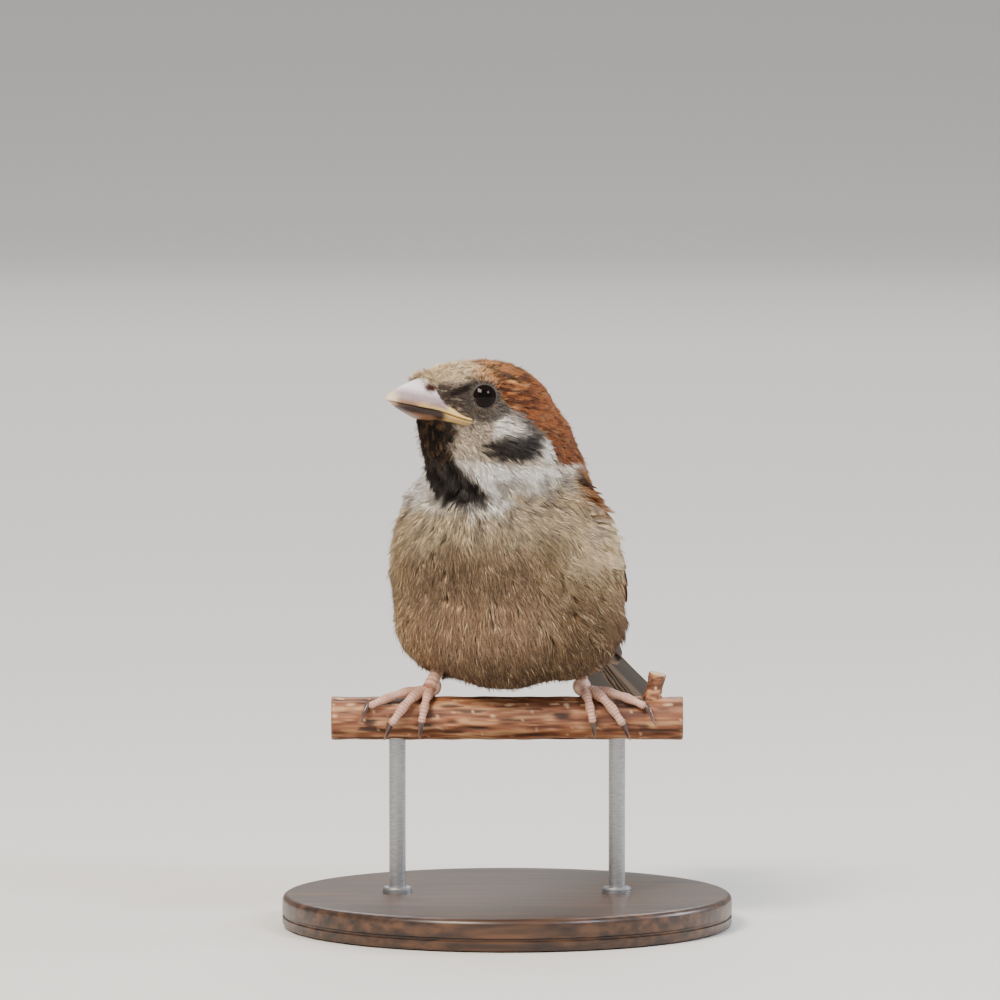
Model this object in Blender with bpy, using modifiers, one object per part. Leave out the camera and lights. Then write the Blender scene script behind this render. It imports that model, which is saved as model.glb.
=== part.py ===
"""A life-size museum model of a young Eurasian tree sparrow, perched on a cut length of twig.

The twig stands on two rods over a flat round base. The bird is modelled in a frame of its own,
turned on the stand: +X is its left, +Y its tail and +Z up, from a point on top of the twig
between the feet. The head has a second frame, between the eyes. Both are in millimetres, and
so is every size below; MM turns them to Blender's metres. The flesh is one blended form that
thin cuts part into head, neck, trunk and thighs. Feathers end at the surface of these solids.
"""

import math

import bmesh
import bpy
from mathutils import Matrix, Vector

MM = 0.001
GAP = 0.3  # clearance between neighbouring pieces

# Stand and perch
PERCH_TOP = 42.0
PERCH_RADIUS = 4.0
PERCH_LENGTH = 64.0
PERCH_WAVE = 0.012
PERCH_WAVE_TURN = 0.9  # radians for each millimetre along it
STUB_X = 25.5
STUB_LINE = ((0.0, 0.0, 1.0), (1.1, -0.6, 4.6), (1.9, -1.0, 8.2))
STUB_RADII = (2.0, 1.65, 1.5)
BASE_RADIUS = 41.0
BASE_HEIGHT = 6.0
BASE_RIM = 1.2
ROD_RADIUS = 1.5
ROD_X = 20.0

# Pose, in degrees
BODY_YAW = -22.0
TRUNK_PITCH = -30.0
HEAD_YAW = -34.0
HEAD_PITCH = -6.0
TAIL_PITCH = -27.0

# Bird, from the point on the twig between the feet
BODY_PLACE = (0.5, 3.0, 0.8)
TRUNK_CENTRE = (0.0, 2.0, 22.0)
TRUNK_RADII = (16.2, 28.0, 18.0)
HEAD_ORIGIN = (-1.8, -16.0, 54.4)

# Head, from the point between the eyes
EYE_RADIUS = 3.3
EYE_APERTURE = 2.05
EYE_FORWARD = 27.0  # degrees that each eye looks ahead of square
EYE_MIDDLE = (0.0, 2.4, 0.35)  # halfway between the eyes
BILL_TIP_Y = -17.6
BILL_BASE_Y = -10.2
GAPE_Y = -4.2
GAPE_HALF = 6.8
GAPE_LIP = 1.1
GAPE_DROP = 1.0  # how far its corner turns down
GAPE_BEND = (0.55, 0.5)  # where along the bill it turns, and over what share
BILL_UPPER = (5.3, 3.9, 0.30)  # depth and half-width at the base, and how sharp its profile is
BILL_LOWER = (1.9, 3.5, 0.55)
TOMIUM_Z = (-1.75, -3.3)  # height of the line between its halves, at tip and gape
TOMIUM_BOW = 0.85
BILL_TAPER = 0.62
BILL_RIDGE = (0.7, 0.86)  # how square the lower and upper halves are across
BILL_LOWER_SHORT = 1.1
BILL_NIB = 0.12

# Wing, in the trunk's own frame: along it from breast to tail, and across it
WING_START = -17.0
WING_END = 47.0
WING_THICKNESS = 1.5
WING_MIDDLE = (4.0, 7.7)  # height of its middle line at each end
WING_BELOW = 11.0
WING_ABOVE = 7.4
WING_TIP_HALF = 1.5
WING_TIP_X = 5.0
WING_LEAF = (0.16, 0.72, 0.8)  # where its leaf shape starts, how it leans back, how full it is
WING_BED = (15.3, 33.0, 20.0)  # the form that it lies on

# Tail
TAIL_ROOT = (0.0, 24.0, 13.5)
TAIL_LENGTH = 49.0
TAIL_ROOT_HALF = 4.6
TAIL_TIP_HALF = 7.4
TAIL_THICKNESS = 1.3
TAIL_NOTCH = 2.0
TAIL_ARCH = 1.6
TAIL_BURIED = 6.0  # how far its root reaches in under the coverts

# Legs
THIGH_CENTRE = (14.0, 3.0, 9.5)
THIGH_RADII = (8.5, 10.5, 8.0)
THIGH_PITCH = 25.0
STANCE_HALF = 13.6
TOE_RADIUS = 0.95
SHANK_RADIUS = 1.05
HEEL = (11.6, 4.5, 8.0)
ANKLE_RISE = 2.4  # over the bark
SHANK_BOW = 1.2
PALM_RADII = (1.7, 1.8, 1.3)
TOE_TAPER = 0.72
TOE_SPREAD = 0.8  # below 1, a toe runs aside before it runs down
KNUCKLE = 0.13
CLAW_SWEEP = 42.0  # degrees that a claw reaches round the twig
CLAW_RADII = (0.62, 0.14)
CLAW_ARCH = 0.35  # how far it stands off the bark, in its own radii

# Thin cuts between head, neck and trunk: a point and a direction in the bird's frame
HEAD_CUT = ((-1.8, -10.0, 42.6), (0.0, -0.26, 0.966))
NECK_CUT = ((0.0, -6.0, 36.0), (0.0, -0.30, 0.954))

VOXEL = 1.0
FLESH_RATIO = 0.0455


def turn(axis, degrees):
    """A rotation about X, Y or Z."""
    return Matrix.Rotation(math.radians(degrees), 4, axis)


def shift(place):
    """A translation by a place in millimetres."""
    return Matrix.Translation(Vector(place))


WORLD = Matrix.Scale(MM, 4)
BODY = WORLD @ shift((0, 0, PERCH_TOP)) @ shift(BODY_PLACE) @ turn("Z", BODY_YAW)
TRUNK = BODY @ shift(TRUNK_CENTRE) @ turn("X", TRUNK_PITCH)
HEAD = BODY @ shift(HEAD_ORIGIN) @ turn("Z", HEAD_YAW) @ turn("X", HEAD_PITCH)
TAIL = BODY @ shift(TAIL_ROOT) @ turn("X", TAIL_PITCH)
PERCH = WORLD @ shift((0, 0, PERCH_TOP - PERCH_RADIUS))


# --- collections, materials and small helpers --------------------------------------------


def clear_scene():
    """Removes whatever the scene holds."""
    for obj in list(bpy.data.objects):
        bpy.data.objects.remove(obj)


def collection(name):
    """A new collection in the scene."""
    made = bpy.data.collections.new(name)
    bpy.context.scene.collection.children.link(made)
    return made


def material(name, colour, roughness, metallic=0.0):
    """A plain Principled material."""
    made = bpy.data.materials.new(name)
    made.use_nodes = True
    shader = made.node_tree.nodes["Principled BSDF"]
    shader.inputs["Base Color"].default_value = (*colour, 1.0)
    shader.inputs["Roughness"].default_value = roughness
    shader.inputs["Metallic"].default_value = metallic
    return made


def add_object(name, mesh, group, finish=None):
    """An object that shows a mesh, in a collection."""
    obj = bpy.data.objects.new(name, mesh)
    group.objects.link(obj)
    if finish:
        mesh.materials.clear()
        mesh.materials.append(finish)
    return obj


def mesh_from(bm, name):
    """A mesh from a bmesh, with its faces turned outwards."""
    bmesh.ops.recalc_face_normals(bm, faces=bm.faces)
    mesh = bpy.data.meshes.new(name)
    bm.to_mesh(mesh)
    bm.free()
    return mesh


def helper(mesh, name):
    """A cutter or guide: it isn't part of the bird."""
    obj = add_object(name, mesh, GUIDES)
    obj.hide_render = True
    obj.display_type = "WIRE"
    return obj


def bake_modifiers(obj):
    """Replaces an object's mesh, or curve, with what its modifiers make of it."""
    bpy.context.view_layer.update()
    graph = bpy.context.evaluated_depsgraph_get()
    mesh = bpy.data.meshes.new_from_object(obj.evaluated_get(graph))
    world = obj.matrix_world.copy()
    group, name = obj.users_collection[0], obj.name
    finish = obj.active_material
    hidden, shown_as = obj.hide_render, obj.display_type
    bpy.data.objects.remove(obj)
    bm = bmesh.new()
    bm.from_mesh(mesh)
    bmesh.ops.remove_doubles(bm, verts=bm.verts, dist=0.001 * MM)
    bm.to_mesh(mesh)
    bm.free()
    made = add_object(name, mesh, group, finish)
    made.matrix_world = world
    made.hide_render = hidden
    made.display_type = shown_as
    return made


def boolean(obj, other, operation):
    """Cuts obj with other, or joins other to it."""
    step = obj.modifiers.new(operation.lower(), "BOOLEAN")
    step.operation = operation
    step.object = other
    step.solver = "EXACT"


def smooth_shading(obj, angle=45.0):
    """Smooth faces, with sharp edges past an angle."""
    obj.data.shade_smooth()
    obj.data.set_sharp_from_angle(angle=math.radians(angle))


# --- the blended flesh --------------------------------------------------------------------


def flesh_masses():
    """The masses of the bird: (frame, centre, radii, pitch), with the mirror of those at its sides."""
    trunk_core = (TRUNK, (0, 0, 0), TRUNK_RADII, 0)
    breast = (BODY, (0, -8.5, 26), (19.3, 14.5, 15), -10)
    belly = (BODY, (0, -3.0, 18.6), (18.3, 17.8, 18.4), 0)
    shoulders = (BODY, (0, -3.5, 32.5), (19.6, 14.5, 9.5), -20)
    rump = (TRUNK, (0, 24, 1.6), (8.2, 13.0, 7.0), 2)
    coverts = (TRUNK, (0, 33, 3.2), (5.4, 12.5, 3.5), 3)
    back_of_neck = (BODY, (1.6, -3.2, 45.6), (12.2, 10.8, 9.0), -25)
    nape = (BODY, (1.0, -1.6, 39.8), (14.6, 14.2, 9.6), -37)
    neck = (BODY, (1.2, -10.5, 41.0), (13.4, 12.2, 11), 0)
    cranium = (HEAD, (0, 5.6, -1.7), (10.0, 12.5, 8.9), -9)
    face = (HEAD, (0, -1.9, -0.7), (6.9, 9.8, 7.2), 0)
    chin = (HEAD, (0, -2.6, -6.2), (5.2, 7.0, 5.4), 8)
    throat = (HEAD, (0, 1.0, -10.0), (8.8, 8.6, 6.5), 0)
    masses = [trunk_core, breast, belly, shoulders, rump, coverts, back_of_neck, nape, neck]
    masses += [cranium, face, chin, throat]
    for side in (-1, 1):
        masses.append((HEAD, (side * 3.6, 5.5, -5.6), (7.0, 9.4, 6.6), 0))  # cheek
        masses.append((BODY, (side * 7.4, 0.6, 32.4), (10.5, 10.0, 8.7), -30))  # scapulars
        masses.append((BODY, (side * 8.7, -1.5, 23), (13.8, 13, 15), -15))  # flank, over the wing
        masses.append((BODY, (side * 10.6, 0.0, 13.6), (11.2, 14, 11.8), 0))  # belly, over the thigh
    return masses


def ellipsoid(frame, centre, radii, pitch, subdivisions=4):
    """A bmesh ellipsoid in a frame."""
    bm = bmesh.new()
    place = frame @ shift(centre) @ turn("X", pitch) @ Matrix.Diagonal((*radii, 1.0))
    bmesh.ops.create_icosphere(bm, subdivisions=subdivisions, radius=1.0, matrix=place)
    return bm


def blended_flesh():
    """All the masses joined and smoothed into one skin of feathers."""
    bm = bmesh.new()
    for mass in flesh_masses():
        part = ellipsoid(*mass)
        scratch = bpy.data.meshes.new("mass")
        part.to_mesh(scratch)
        part.free()
        bm.from_mesh(scratch)
        bpy.data.meshes.remove(scratch)
    flesh = helper(mesh_from(bm, "flesh"), "flesh")
    remesh = flesh.modifiers.new("join", "REMESH")
    remesh.mode = "VOXEL"
    remesh.voxel_size = VOXEL * MM
    soften = flesh.modifiers.new("soften", "SMOOTH")
    soften.factor = 0.5
    soften.iterations = 18
    thin = flesh.modifiers.new("thin", "DECIMATE")
    thin.ratio = FLESH_RATIO
    return bake_modifiers(flesh)


def kept_side(source, name, planes):
    """A closed copy of source's mesh, kept on the far side of planes: (point, normal) in the world."""
    bm = bmesh.new()
    bm.from_mesh(source.data)
    for point, normal in planes:
        geometry = bm.verts[:] + bm.edges[:] + bm.faces[:]
        cut = bmesh.ops.bisect_plane(
            bm, geom=geometry, plane_co=point, plane_no=normal, clear_inner=True, dist=1e-7
        )
        edges = [item for item in cut["geom_cut"] if isinstance(item, bmesh.types.BMEdge)]
        bmesh.ops.contextual_create(bm, geom=edges)
    bmesh.ops.triangulate(bm, faces=bm.faces)
    return mesh_from(bm, name)


def plane(frame, point, normal, offset):
    """A plane moved along its normal by an offset: (point, normal) in the world."""
    direction = (frame.to_3x3() @ Vector(normal)).normalized()
    return frame @ Vector(point) + direction * offset * MM, direction


def grown(source, name, amount):
    """A cutter: source's surface moved out along its normals."""
    cutter = helper(source.data.copy(), name)
    swell = cutter.modifiers.new("swell", "DISPLACE")
    swell.strength = amount * MM
    swell.mid_level = 0.0
    return bake_modifiers(cutter)


# --- lofts, shells and tubes ---------------------------------------------------------------


def loft(name, rings, frame):
    """A closed mesh through rings of points, all of one count, with its two ends capped."""
    bm = bmesh.new()
    rows = [[bm.verts.new(frame @ Vector(point)) for point in ring] for ring in rings]
    count = len(rows[0])
    for row, following in zip(rows, rows[1:]):
        for i in range(count):
            j = (i + 1) % count
            bm.faces.new((row[i], row[j], following[j], following[i]))
    bm.faces.new(rows[0])
    bm.faces.new(list(reversed(rows[-1])))
    bmesh.ops.triangulate(bm, faces=bm.faces)
    return mesh_from(bm, name)


def shell(name, place, columns, rows, thickness, finish):
    """A sheet shaped by place(u, v), each from 0 to 1, thickened outwards by Solidify."""
    bm = bmesh.new()
    bmesh.ops.create_grid(bm, x_segments=columns, y_segments=rows, size=0.5)
    for vert in bm.verts:
        vert.co = place(vert.co.x + 0.5, vert.co.y + 0.5)
    mesh = bpy.data.meshes.new(name)
    bm.to_mesh(mesh)
    bm.free()
    obj = add_object(name, mesh, PARTS, finish)
    wall = obj.modifiers.new("wall", "SOLIDIFY")
    wall.thickness = thickness * MM
    wall.offset = 0.0
    wall.use_even_offset = True
    return obj


def tube(name, frame, points, radii, group, finish=None, sides=2):
    """A tapering tube through points, its radius set at each, with closed ends."""
    curve = bpy.data.curves.new(name, "CURVE")
    curve.dimensions = "3D"
    curve.bevel_depth = MM
    curve.bevel_resolution = sides
    curve.use_fill_caps = True
    line = curve.splines.new("POLY")
    line.points.add(len(points) - 1)
    for knot, point, radius in zip(line.points, points, radii):
        knot.co = (*(frame @ Vector(point)), 1.0)
        knot.radius = radius
    obj = bpy.data.objects.new(name, curve)
    group.objects.link(obj)
    made = bake_modifiers(obj)
    if finish:
        made.data.materials.clear()
        made.data.materials.append(finish)
    return made


def mix(start, end, share):
    """A value part of the way from start to end."""
    return start + (end - start) * share


def ease(share):
    """A smooth step from 0 to 1."""
    share = min(max(share, 0.0), 1.0)
    return share * share * (3.0 - 2.0 * share)


# --- bill ------------------------------------------------------------------------------------


def tomium_z(y):
    """Height of the line where the two halves of the bill meet."""
    along = max((y - BILL_TIP_Y) / (GAPE_Y - BILL_TIP_Y), 0.0)
    start, over = GAPE_BEND
    return mix(*TOMIUM_Z, along ** TOMIUM_BOW) - GAPE_DROP * ease((along - start) / over)


def bill_half(name, upper, extra):
    """One half of the bill, extra larger all round: arched outside, flat along its cutting edge.

    Behind the exposed part it widens and thins into the lip of the gape.
    """
    depth, half_width, nose = BILL_UPPER if upper else BILL_LOWER
    tip = BILL_TIP_Y + (0.0 if upper else BILL_LOWER_SHORT)
    back = GAPE_Y + 0.5
    sign = 1.0 if upper else -1.0
    exposed = BILL_BASE_Y - tip
    stations, arc = 11, 8
    rings = []
    for i in range(stations + 1):
        share = (i / stations) ** 1.25
        y = mix(tip - extra, back + extra, share)
        grow = min(max((y - tip + extra) / exposed, 0.0), 1.0)
        beyond = max((y - BILL_BASE_Y) / (back - BILL_BASE_Y), 0.0)
        width = mix(half_width * grow ** BILL_TAPER + BILL_NIB, GAPE_HALF, beyond) + extra
        rise = depth * grow ** (BILL_TAPER + 0.25 * nose) + BILL_NIB
        height = mix(rise, GAPE_LIP, ease(beyond)) + 2 * extra
        floor = tomium_z(y) + sign * (0.5 * GAP - extra)
        ring = [(width, y, floor)]
        for k in range(1, arc):
            turned = math.pi * k / arc
            ridge = abs(math.cos(turned)) ** BILL_RIDGE[upper]
            across = math.copysign(ridge, math.cos(turned)) * width
            ring.append((across, y, floor + sign * height * math.sin(turned)))
        ring.append((-width, y, floor))
        rings.append(ring)
    return loft(name, rings, HEAD)


# --- wings and tail -----------------------------------------------------------------------------


def wing_edge(along, lower):
    """Height of the folded wing's lower or upper edge, in the trunk's frame: a long leaf shape."""
    middle = mix(*WING_MIDDLE, along)
    start, lean, full = WING_LEAF
    spread = math.sin(math.pi * min(along + start, 1.0) ** lean) ** full
    reach = (WING_BELOW if lower else WING_ABOVE) * spread + WING_TIP_HALF
    return middle - reach if lower else middle + reach


def wing_side(side):
    """The sheet of one folded wing, over the side of the trunk and out past the rump."""

    def place(u, v):
        along = mix(WING_START, WING_END, u)
        across = mix(wing_edge(u, True), wing_edge(u, False), v)
        within = max(1.0 - (along / WING_BED[1]) ** 2 - (across / WING_BED[2]) ** 2, 0.0)
        bed = WING_BED[0] * math.sqrt(within) + GAP + 0.5 * WING_THICKNESS
        return TRUNK @ Vector((side * math.hypot(bed, WING_TIP_X), along, across))

    return place


def tail_sheet(u, v):
    """The folded tail: a little arched across, wider and notched at its end."""
    across = 2.0 * v - 1.0
    length = TAIL_LENGTH - TAIL_NOTCH * (1.0 - abs(across)) * ease(u)
    half = mix(TAIL_ROOT_HALF, TAIL_TIP_HALF, u ** 0.8)
    arch = -TAIL_ARCH * across * across * mix(1.0, 0.6, u)
    return TAIL @ Vector((half * across, length * u - TAIL_BURIED * (1.0 - u), arch))


# --- legs -----------------------------------------------------------------------------------------


def round_twig(x, turned, radius):
    """A point beside the perch: turned degrees from its top towards the breast, clear of its bark."""
    reach = PERCH_RADIUS + GAP + radius
    angle = math.radians(turned)
    return (x, -reach * math.sin(angle), reach * math.cos(angle))


def toe_line(start_x, slant, end_turn, radius):
    """A toe from the middle of the foot round the twig: (points, radii), swollen at each joint."""
    steps = 7
    points, radii = [], []
    for i in range(steps + 1):
        share = i / steps
        knuckle = 1.0 + KNUCKLE * math.cos(share * 3.0 * 2.0 * math.pi)
        thick = radius * mix(1.0, TOE_TAPER, share) * knuckle
        points.append(round_twig(start_x + slant * share**TOE_SPREAD, end_turn * share, radius))
        radii.append(thick)
    return points, radii


def claw_line(x, slant, turned, radius):
    """A claw from the end of a toe: (points, radii), hooked on round the twig to a fine tip."""
    steps = 6
    points, radii = [], []
    direction = 1.0 if turned > 0 else -1.0
    for i in range(steps + 1):
        share = i / steps
        lift = radius * (1.0 + CLAW_ARCH * math.sin(math.pi * share))
        points.append(round_twig(x + slant * share, turned + direction * CLAW_SWEEP * share, lift))
        radii.append(mix(*CLAW_RADII, share ** 0.8))
    return points, radii


# Each toe: (name, sideways reach, degrees round the twig, radius) with +X away from the bird's middle.
TOES = (
    ("inner", 2.0, 96.0, 0.88),
    ("middle", 7.6, 100.0, TOE_RADIUS),
    ("outer", 11.6, 62.0, 0.88),
    ("hind", 0.6, -92.0, 1.0),
)


def make_foot(word, side, leg_clear):
    """A foot of four toes that grip the twig, with its claws, under a seat for the shank."""
    centre = side * STANCE_HALF
    palm_reach = PERCH_RADIUS + GAP + PALM_RADII[2] + 0.05
    bm = bmesh.new()
    palm = PERCH @ shift((centre, 0, palm_reach)) @ Matrix.Diagonal((*PALM_RADII, 1.0))
    bmesh.ops.create_icosphere(bm, subdivisions=2, radius=1.0, matrix=palm)
    foot = add_object(f"foot_{word}", mesh_from(bm, f"foot_{word}"), PARTS, SKIN)
    for name, reach, turned, radius in TOES:
        points, radii = toe_line(centre, side * reach, turned, radius)
        toe = tube(f"toe_{name}_{word}", PERCH, points, radii, GUIDES)
        toe.hide_render = True
        toe.display_type = "WIRE"
        boolean(foot, toe, "UNION")
        direction = 1.0 if turned > 0 else -1.0
        end = turned + direction * math.degrees((radii[-1] * 0.05 + GAP) / PERCH_RADIUS)
        start_x = centre + side * reach
        line, thickness = claw_line(start_x, side * reach * 0.16, end, radius * 0.72)
        tube(f"claw_{name}_{word}", PERCH, line, thickness, PARTS, HORN, sides=1)
    boolean(foot, leg_clear, "DIFFERENCE")
    smooth_shading(bake_modifiers(foot), 60)


def make_shank(word, side):
    """The bare lower leg, from the foot up and back into the belly feathers."""
    ankle = BODY.inverted() @ PERCH @ Vector((side * STANCE_HALF, -0.3, PERCH_RADIUS + GAP + ANKLE_RISE))
    heel = Vector((side * HEEL[0], *HEEL[1:]))
    steps = 8
    lean = Vector((0, 0, SHANK_BOW))
    shares = [i / steps for i in range(steps + 1)]
    points = [ankle.lerp(heel, share) + lean * math.sin(math.pi * share) for share in shares]
    radii = [SHANK_RADIUS * mix(1.15, 1.0, ease(4 * share)) for share in shares]
    shank = tube(f"shank_{word}", BODY, points, radii, PARTS, SKIN)
    smooth_shading(shank, 60)
    return shank


# --- perch and stand --------------------------------------------------------------------------------


def make_perch():
    """A cut length of twig, a little uneven, with the stub of a side shoot near one end."""
    steps = 18
    points, radii = [], []
    for i in range(steps + 1):
        x = mix(-0.5, 0.5, i / steps) * PERCH_LENGTH
        waves = 1.0 - PERCH_WAVE * (1.0 + math.cos(x * PERCH_WAVE_TURN))
        points.append((x, 0.0, 0.0))
        radii.append(PERCH_RADIUS * waves)
    perch = tube("perch", PERCH, points, radii, PARTS, BARK, sides=3)
    stub = tube(
        "perch_stub",
        PERCH,
        [(STUB_X + x, y, z) for x, y, z in STUB_LINE],
        STUB_RADII,
        GUIDES,
        sides=3,
    )
    stub.hide_render = True
    stub.display_type = "WIRE"
    boolean(perch, stub, "UNION")
    perch = bake_modifiers(perch)
    smooth_shading(perch, 50)
    return perch


def make_stand(perch):
    """A flat round base with a bevelled rim, and the two rods that carry the perch."""
    bm = bmesh.new()
    bmesh.ops.create_cone(
        bm,
        cap_ends=True,
        segments=36,
        radius1=BASE_RADIUS,
        radius2=BASE_RADIUS,
        depth=BASE_HEIGHT,
        matrix=shift((0, 0, BASE_HEIGHT / 2)),
    )
    bm.transform(WORLD)
    base = add_object("stand_base", mesh_from(bm, "stand_base"), PARTS, WOOD)
    rim = base.modifiers.new("rim", "BEVEL")
    rim.width = BASE_RIM * MM
    rim.segments = 2
    rim.angle_limit = math.radians(40)
    base = bake_modifiers(base)
    smooth_shading(base, 30)
    clear_of_twig = grown(perch, "clear_of_twig", GAP)
    for name, x in (("stand_rod_left", ROD_X), ("stand_rod_right", -ROD_X)):
        low, high = BASE_HEIGHT + GAP, PERCH_TOP - PERCH_RADIUS
        bm = bmesh.new()
        bmesh.ops.create_cone(
            bm,
            cap_ends=True,
            segments=24,
            radius1=ROD_RADIUS,
            radius2=ROD_RADIUS,
            depth=high - low,
            matrix=shift((x, 0, (low + high) / 2)),
        )
        bm.transform(WORLD)
        rod = add_object(name, mesh_from(bm, name), PARTS, STEEL)
        boolean(rod, clear_of_twig, "DIFFERENCE")
        rod = bake_modifiers(rod)
        smooth_shading(rod, 30)


# --- head ---------------------------------------------------------------------------------------------


def eye_places(head):
    """The centre of each eyeball, set so that its rim of lids is the eye's real aperture."""
    places = {}
    sink = math.sqrt(EYE_RADIUS ** 2 - EYE_APERTURE ** 2)
    for word, side in (("left", 1), ("right", -1)):
        ahead = math.radians(EYE_FORWARD)
        out = Vector((side * math.cos(ahead), -math.sin(ahead), 0.0))
        origin = HEAD @ Vector(EYE_MIDDLE)
        direction = (HEAD.to_3x3() @ out).normalized()
        hit, point, _, _ = head.ray_cast(origin, direction)
        if not hit:
            raise ValueError("the eye's ray misses the head")
        places[word] = point - direction * sink * MM
    return places


def make_eye(word, centre):
    """A round eyeball, of which the lids show a part."""
    bm = bmesh.new()
    place = Matrix.Translation(centre) @ Matrix.Scale(EYE_RADIUS * MM, 4)
    bmesh.ops.create_icosphere(bm, subdivisions=3, radius=1.0, matrix=place)
    eye = add_object(f"eye_{word}", mesh_from(bm, f"eye_{word}"), PARTS, GLASS)
    smooth_shading(eye, 60)
    bm = bmesh.new()
    place = Matrix.Translation(centre) @ Matrix.Scale((EYE_RADIUS + GAP) * MM, 4)
    bmesh.ops.create_icosphere(bm, subdivisions=3, radius=1.0, matrix=place)
    return helper(mesh_from(bm, f"socket_{word}"), f"socket_{word}")


def make_head(flesh, above_neck):
    """The feathered head, with sockets for the eyes and a seat for the bill."""
    head = add_object("head", kept_side(flesh, "head", [above_neck]), PARTS, CROWN)
    bpy.context.view_layer.update()
    places = eye_places(head)
    sockets = [make_eye(word, centre) for word, centre in places.items()]
    for socket in sockets:
        boolean(head, socket, "DIFFERENCE")
    for name, upper in (("bill_upper", True), ("bill_lower", False)):
        cutter = helper(bill_half(f"{name}_seat", upper, GAP), f"{name}_seat")
        boolean(head, cutter, "DIFFERENCE")
        piece = add_object(name, bill_half(name, upper, 0.0), PARTS, BILL)
        for socket in sockets:
            boolean(piece, socket, "DIFFERENCE")
        smooth_shading(bake_modifiers(piece), 40)
    head = bake_modifiers(head)
    smooth_shading(head, 60)
    return head


# --- the whole bird ---------------------------------------------------------------------------------------


def make_thigh(word, side, flesh, trunk, leg_clears):
    """The feathered thigh: what an ellipsoid holds of the flesh, cut free of the trunk and legs."""
    spot = (side * THIGH_CENTRE[0], *THIGH_CENTRE[1:])
    thigh = add_object(f"thigh_{word}", flesh.data.copy(), PARTS, DOWN)
    for obj, use, extra, operation in (
        (thigh, "form", 0.0, "INTERSECT"),
        (trunk, "clear", GAP, "DIFFERENCE"),
    ):
        name = f"thigh_{use}_{word}"
        radii = [radius + extra for radius in THIGH_RADII]
        bm = ellipsoid(BODY, spot, radii, THIGH_PITCH, subdivisions=3)
        boolean(obj, helper(mesh_from(bm, name), name), operation)
    for clear in leg_clears:
        boolean(thigh, clear, "DIFFERENCE")
    smooth_shading(bake_modifiers(thigh), 60)


def make_bird():
    """The bird in its named pieces."""
    flesh = blended_flesh()
    half = 0.5 * GAP
    above_neck = plane(BODY, *HEAD_CUT, half)
    below_head = plane(BODY, *HEAD_CUT, -half)
    above_trunk = plane(BODY, *NECK_CUT, half)
    below_neck = plane(BODY, *NECK_CUT, -half)

    make_head(flesh, above_neck)
    under = (below_head[0], -below_head[1])
    neck = add_object("neck", kept_side(flesh, "neck", [under, above_trunk]), PARTS, COLLAR)
    smooth_shading(neck, 60)
    under = (below_neck[0], -below_neck[1])
    trunk = add_object("trunk", kept_side(flesh, "trunk", [under]), PARTS, DOWN)

    flesh_clear = grown(flesh, "flesh_clear", GAP)
    sides = (("left", 1), ("right", -1))
    leg_clears = []
    for word, side in sides:
        clear = grown(make_shank(word, side), f"shank_clear_{word}", GAP)
        make_foot(word, side, clear)
        leg_clears.append(clear)
    for word, side in sides:
        make_thigh(word, side, flesh, trunk, leg_clears)
    for clear in leg_clears:
        boolean(trunk, clear, "DIFFERENCE")
    trunk = bake_modifiers(trunk)
    smooth_shading(trunk, 60)

    tail = shell("tail", tail_sheet, 8, 6, TAIL_THICKNESS, MANTLE)
    boolean(tail, flesh_clear, "DIFFERENCE")
    tail = bake_modifiers(tail)
    smooth_shading(tail, 60)
    tail_clear = grown(tail, "tail_clear", GAP)

    for word, side in sides:
        wing = shell(f"wing_{word}", wing_side(side), 16, 5, WING_THICKNESS, MANTLE)
        boolean(wing, flesh_clear, "DIFFERENCE")
        boolean(wing, tail_clear, "DIFFERENCE")
        smooth_shading(bake_modifiers(wing), 60)


clear_scene()
PARTS = collection("tree_sparrow")
GUIDES = collection("guides")
CROWN = material("crown_feathers", (0.28, 0.12, 0.06), 0.75)
COLLAR = material("collar_feathers", (0.62, 0.57, 0.50), 0.8)
DOWN = material("belly_feathers", (0.45, 0.36, 0.27), 0.85)
MANTLE = material("wing_feathers", (0.22, 0.12, 0.06), 0.65)
GLASS = material("eye_glass", (0.01, 0.008, 0.008), 0.05)
BILL = material("bill_horn", (0.62, 0.50, 0.42), 0.35)
HORN = material("claw_horn", (0.20, 0.13, 0.11), 0.4)
SKIN = material("leg_skin", (0.62, 0.42, 0.36), 0.5)
BARK = material("twig_bark", (0.22, 0.12, 0.07), 0.85)
WOOD = material("base_wood", (0.09, 0.06, 0.045), 0.45)
STEEL = material("rod_steel", (0.42, 0.42, 0.44), 0.3, 1.0)
make_bird()
make_stand(make_perch())
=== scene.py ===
"""The looks of a life-size museum model of a young Eurasian tree sparrow on a cut length of twig.

One skin takes the place of the nodes of flesh. Locks and vanes of solid mesh cover it, and both
take their colours from one set of markings. Eyes, bill, feet, claws, twig and stand are pieces
of their own. The bird has a frame of its own (+X its left, +Y its tail, +Z up, from a point on
top of the twig between the feet), and so has its head (from the point between the eyes). Sizes
in those frames are in millimetres, and meshes in metres.
"""

import logging
from collections.abc import Iterable, Sequence
from dataclasses import dataclass, field, replace
from enum import Enum, StrEnum
from math import asin, ceil, cos, dist, pi, radians, sin, sqrt

import bmesh
import bpy
import numpy as np
from mathutils import Matrix, Vector
from mathutils.bvhtree import BVHTree
from mathutils.kdtree import KDTree


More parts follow.
